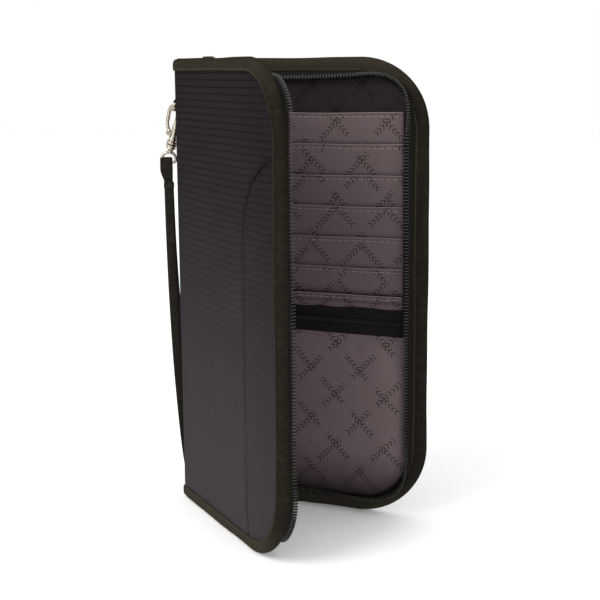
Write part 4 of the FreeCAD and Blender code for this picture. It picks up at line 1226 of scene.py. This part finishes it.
# ---- ring, hook, gate and eye

HOOK_Z, HOOK_Y = (np.array(joints[name]["axis"], float) for name in ("swivel_turn", "hook_swing"))
HOOK = Place(joint_place("swivel_turn"), np.cross(HOOK_Y, HOOK_Z), HOOK_Z)
EYE_TURN, RING_DROOP, RING_WIRE = 47, 35, 0.78
BOW_RADIUS, BOW_CENTRE, TIP_END = 3.4, 14.5, 9.0
PIVOT_X, PIVOT_Z = 2.9, 3.4


def arc(centre_x, centre_z, radius, first, last, count):
    """Points (x, z) on an arc, in degrees."""
    return [(centre_x + radius * math.cos(math.radians(a)), centre_z + radius * math.sin(math.radians(a)))
            for a in np.linspace(first, last, count)]


def ends_rounded(points, radius, swell=1.0):
    """Radii along a wire with eased ends, the last of which may be wider."""
    run = run_of(points)
    fade = np.clip(np.minimum(run, run[-1] - run) / (0.3 * radius), 0, 1)
    radii = radius * (1 - 0.3 * (1 - fade) ** 2)
    return radii * np.where(run > run[-1] - 2 * radius, swell, 1.0)


def finer_path(points, step):
    """The same path, smoothed, with points a step apart."""
    points = np.asarray(points, float)
    run = run_of(points)
    path = points_at(np.linspace(0, run[-1], int(run[-1] / step) + 1), run, points)
    for _ in range(5):
        path[1:-1] = (path[:-2] + 2 * path[1:-1] + path[2:]) / 4
    return path


def wire_loop(name, place, points, radius, step=0.35):
    """Closed round wire."""
    path = finer_path(np.concatenate([points, points[:1]]), step)[:-1]
    return tube(name, place(path), np.full(len(path), radius), closed=True)


def make_hook():
    """Barrel, bow, ears and pin of the hook in one piece, and its sprung gate."""
    barrel = lathed("hook_barrel", HOOK, [
        (-1.5, 2.2), (-1.45, 2.65), (-1.2, 2.9), (-0.4, 2.9), (-0.1, 2.65), (0, 2.1), (0.2, 1.9), (0.5, 2.1),
        (0.9, 2.2), (1.5, 2.15), (1.9, 1.8), (2.3, 1.62), (5.0, 1.66), (8.4, 1.62), (8.9, 1.5), (9.3, 1.25),
        (9.6, 0.8)])
    wire = [(0, 8.6), (0, BOW_CENTRE)] + arc(BOW_RADIUS, BOW_CENTRE, BOW_RADIUS, 180, 0, 25)
    wire += [(2 * BOW_RADIUS, TIP_END + 2.2), (2 * BOW_RADIUS - 0.1, TIP_END)]
    path = finer_path([(x, 0, z) for x, z in wire], 0.25)
    pieces = [barrel, tube("hook_wire", HOOK(path), ends_rounded(path, 1.0, 1.12))]
    ear_place = Place(HOOK.origin, HOOK.x, -HOOK.y)
    ear = np.array([(-2.6, 2.2), (-2.6, 4.7)] + arc(0, PIVOT_Z, 1.2, 75, -75, 12)) + (PIVOT_X, 0)
    pieces += [extruded("hook_ear", ear_place, ear, low, low + 0.65, 0.18) for low in (-2.15, 1.5)]
    pin_place = Place(HOOK((PIVOT_X, 0, PIVOT_Z)), HOOK.x, HOOK.y)
    half_pin = [(-2.4, 0.3), (-2.35, 0.6), (-2.15, 0.75), (-2.1, 0.5)]
    pieces.append(lathed("hook_pin", pin_place, half_pin + [(-z, r) for z, r in half_pin[::-1]], 20))
    piece(joined("swivel_snap_hook", pieces), NICKEL, "hook", ["snap_hook"])

    line = [(PIVOT_X, PIVOT_Z), (4.6, 4.6), (5.7, 5.9), (6.4, 7.4), (6.68, TIP_END - 0.12)]
    path = finer_path([(x, 0, z) for x, z in line], 0.3)
    lever = tube("gate_wire", HOOK(path), ends_rounded(path, 0.95, 0.95))
    hub = lathed("gate_hub", pin_place, [(-1.3, 0.7), (-1.2, 1.0), (1.2, 1.0), (1.3, 0.7)], 24)
    piece(joined("hook_gate_lever", [lever, hub]), NICKEL, "gate", ["hook_gate"])


def closed_bow(radius, straight, corner):
    """Closed D shape, (x, y, 0): a bar along y at x = 0 and a bow past its far side."""
    points = arc(straight, 0, radius, -90, 90, 25)
    points += arc(corner, radius - corner, corner, 90, 180, 7)
    points += arc(corner, corner - radius, corner, 180, 270, 7)
    return np.array([(x, y, 0) for x, y in points])


def make_ring():
    """D ring in the tab, hanging under the hook's weight."""
    angle = math.radians(RING_DROOP)
    reach = SPINE.out * math.cos(angle) - UP * math.sin(angle)
    place = Place(joint_place("ring_swing"), reach, np.cross(reach, -HOOK_Y))
    ring = wire_loop("wire_ring", place, closed_bow(3.6, 2.6, 0.9), RING_WIRE)
    piece(ring, NICKEL, "ring", ["hook_ring"])


def make_eye():
    """Swivel stem and the loop for the strap's doubled head."""
    turn = math.radians(EYE_TURN)
    place = Place(HOOK.origin, math.cos(turn) * HOOK.x + math.sin(turn) * HOOK.y, HOOK.z)
    swivel = lathed("eye_swivel", place, [
        (-6.9, 0.9), (-6.6, 1.35), (-6.1, 1.5), (-5.0, 1.55), (-4.6, 1.9), (-4.35, 2.3), (-4.0, 2.65),
        (-3.7, 2.7), (-3.4, 2.45), (-3.15, 2.2), (-2.95, 2.45), (-2.7, 2.9), (-2.3, 3.02), (-2.0, 2.9),
        (-1.85, 2.5), (-1.8, 1.0), (1.5, 1.0)])
    upright_bow = closed_bow(3.7, 1.5, 0.8)[:, [1, 2, 0]] - (0, 0, 11.6)
    loop = wire_loop("eye_loop", place, upright_bow, RING_WIRE)
    piece(joined("swivel_eye_loop", [swivel, loop]), NICKEL, "swivel", ["swivel_eye"])


make_hook()
make_ring()
make_eye()


# ---- zip sliders and pulls

SLIDER_LENGTH, OVER_TEETH = 8, 0.230


def make_pull(name, place, body, node):
    """Flat pull: a bar, a window and a tab along x."""
    parts = [wire_loop(name + "_loop", place, closed_bow(2.0, 4.6, 1.3), 0.52, 0.3)]
    for part, outline, half, bevel in (("_tab", rounded_outline(6.2, 21.4, 2.1, 2.7, 1.1), 0.5, 0.2),
                                       ("_grip", rounded_outline(9.5, 19.6, 1.3, 1.7, 0.7), 0.62, 0.15)):
        parts.append(extruded(name + part, place, outline, -half, half, bevel))
    piece(joined(name, parts), ENAMEL, body, [node])


def make_crown(name, place, length, height, wall):
    """Arched strip over a slider's plate, along x."""
    foot, top = 0.7, height - wall / 2
    rise = [(foot, 0, 0), (foot, 0, top - 0.9), (foot + 0.3, 0, top - 0.3), (foot + 0.9, 0, top)]
    path = finer_path(rise + [(length - x, 0, z) for x, _, z in rise[::-1]], 0.3)
    return ribbon(name, place(path), place.y, 1.8, wall, 1.0, 0.0)


def make_sliders():
    """Both sliders, each of two plates or a plate and rails under a crown, and their pulls."""
    along, out = BACK.along, BACK.out
    over = Place(BACK(1.2, 0, -6.4) + UP * OVER_TEETH, along, UP)
    body = rounded_outline(0, SLIDER_LENGTH, 2.5, 2.0, 0.9)
    slider = joined("zip_slider", [
        extruded("slider_upper", over, body, -1.1, 0, 0.25),
        extruded("slider_lower", over, body, -5.0, -3.9, 0.25),
        extruded("slider_divider", Place(over.origin - out * 1.25 * MM, along, UP),
                 rounded_outline(0, 3, 0.45, 0.35, 0.3), -4.4, -0.6, 0.1),
        make_crown("slider_crown", over, SLIDER_LENGTH, 6, 1.1)])
    piece(slider, ENAMEL, "main_slider", ["main_zip_slider"])
    make_pull("zip_pull", Place(joint_place("main_pull_flip"), along, UP), "main_pull", "main_zip_pull")

    front, crown_place = (Place(BACK(13, BAND_MIDDLE, d), along, -out) for d in (-2.2, -3.2))
    rail = rounded_outline(0.5, SLIDER_LENGTH - 0.5, 0.5, 0.5, 0.4)
    inner = joined("inner_slider", [
        extruded("inner_slider_plate", front, rounded_outline(0, SLIDER_LENGTH, 3.7, 3.0, 1.0), 0, 1.1, 0.3),
        make_crown("inner_slider_crown", crown_place, SLIDER_LENGTH, 2.7, 1.0),
        extruded("inner_slider_rail", front, rail - (0, 3), -0.95, 0.2, 0.15),
        extruded("inner_slider_rail", front, rail + (0, 3), -0.95, 0.2, 0.15)])
    piece(inner, ENAMEL, "pocket_slider", ["pocket_zip_slider"])
    make_pull("inner_pull", Place(joint_place("pocket_pull_flip"), along, -out), "pocket_pull",
              "pocket_zip_pull")


make_sliders()
for name in ("back_board", "front_board", "spine_board"):
    dress(frame["nodes"][name], STIFFENER)


# ---- floor and light

def area_light(name, place, target, size, power, colour):
    data = bpy.data.lights.new(name, "AREA")
    data.size, data.energy, data.color = size, power, colour
    light = bpy.data.objects.new(name, data)
    scene.collection.objects.link(light)
    light.location = place
    light.rotation_euler = (Vector(target) - Vector(place)).to_track_quat("-Z", "Y").to_euler()


def make_studio():
    """White floor and world, and three soft lights."""
    floor = new_object("floor", [(-4, -4, 0), (4, -4, 0), (4, 4, 0), (-4, 4, 0)], [(0, 1, 2, 3)])
    shade = speckled("floor_paper", (0.985, 0.985, 0.985), 0.8, depth=0.01, scale=40.0, spread=0.01)
    dress(floor, shade)
    world = bpy.data.worlds.new("studio")
    scene.world = world
    world.use_nodes = True
    background = world.node_tree.nodes["Background"]
    background.inputs[0].default_value = (1, 1, 1, 1)
    background.inputs[1].default_value = 1.0
    middle = (0, 0, 0.12)
    area_light("key", (-0.7, -1.3, 1.3), middle, 0.9, 22, (1, 0.98, 0.95))
    area_light("fill", (1.5, -1.2, 0.8), middle, 1.2, 14, (0.97, 0.98, 1))
    area_light("low", (-0.5, -1.6, 0.15), middle, 0.8, 6, (1, 1, 1))
    scene.view_settings.view_transform = "Standard"


make_studio()
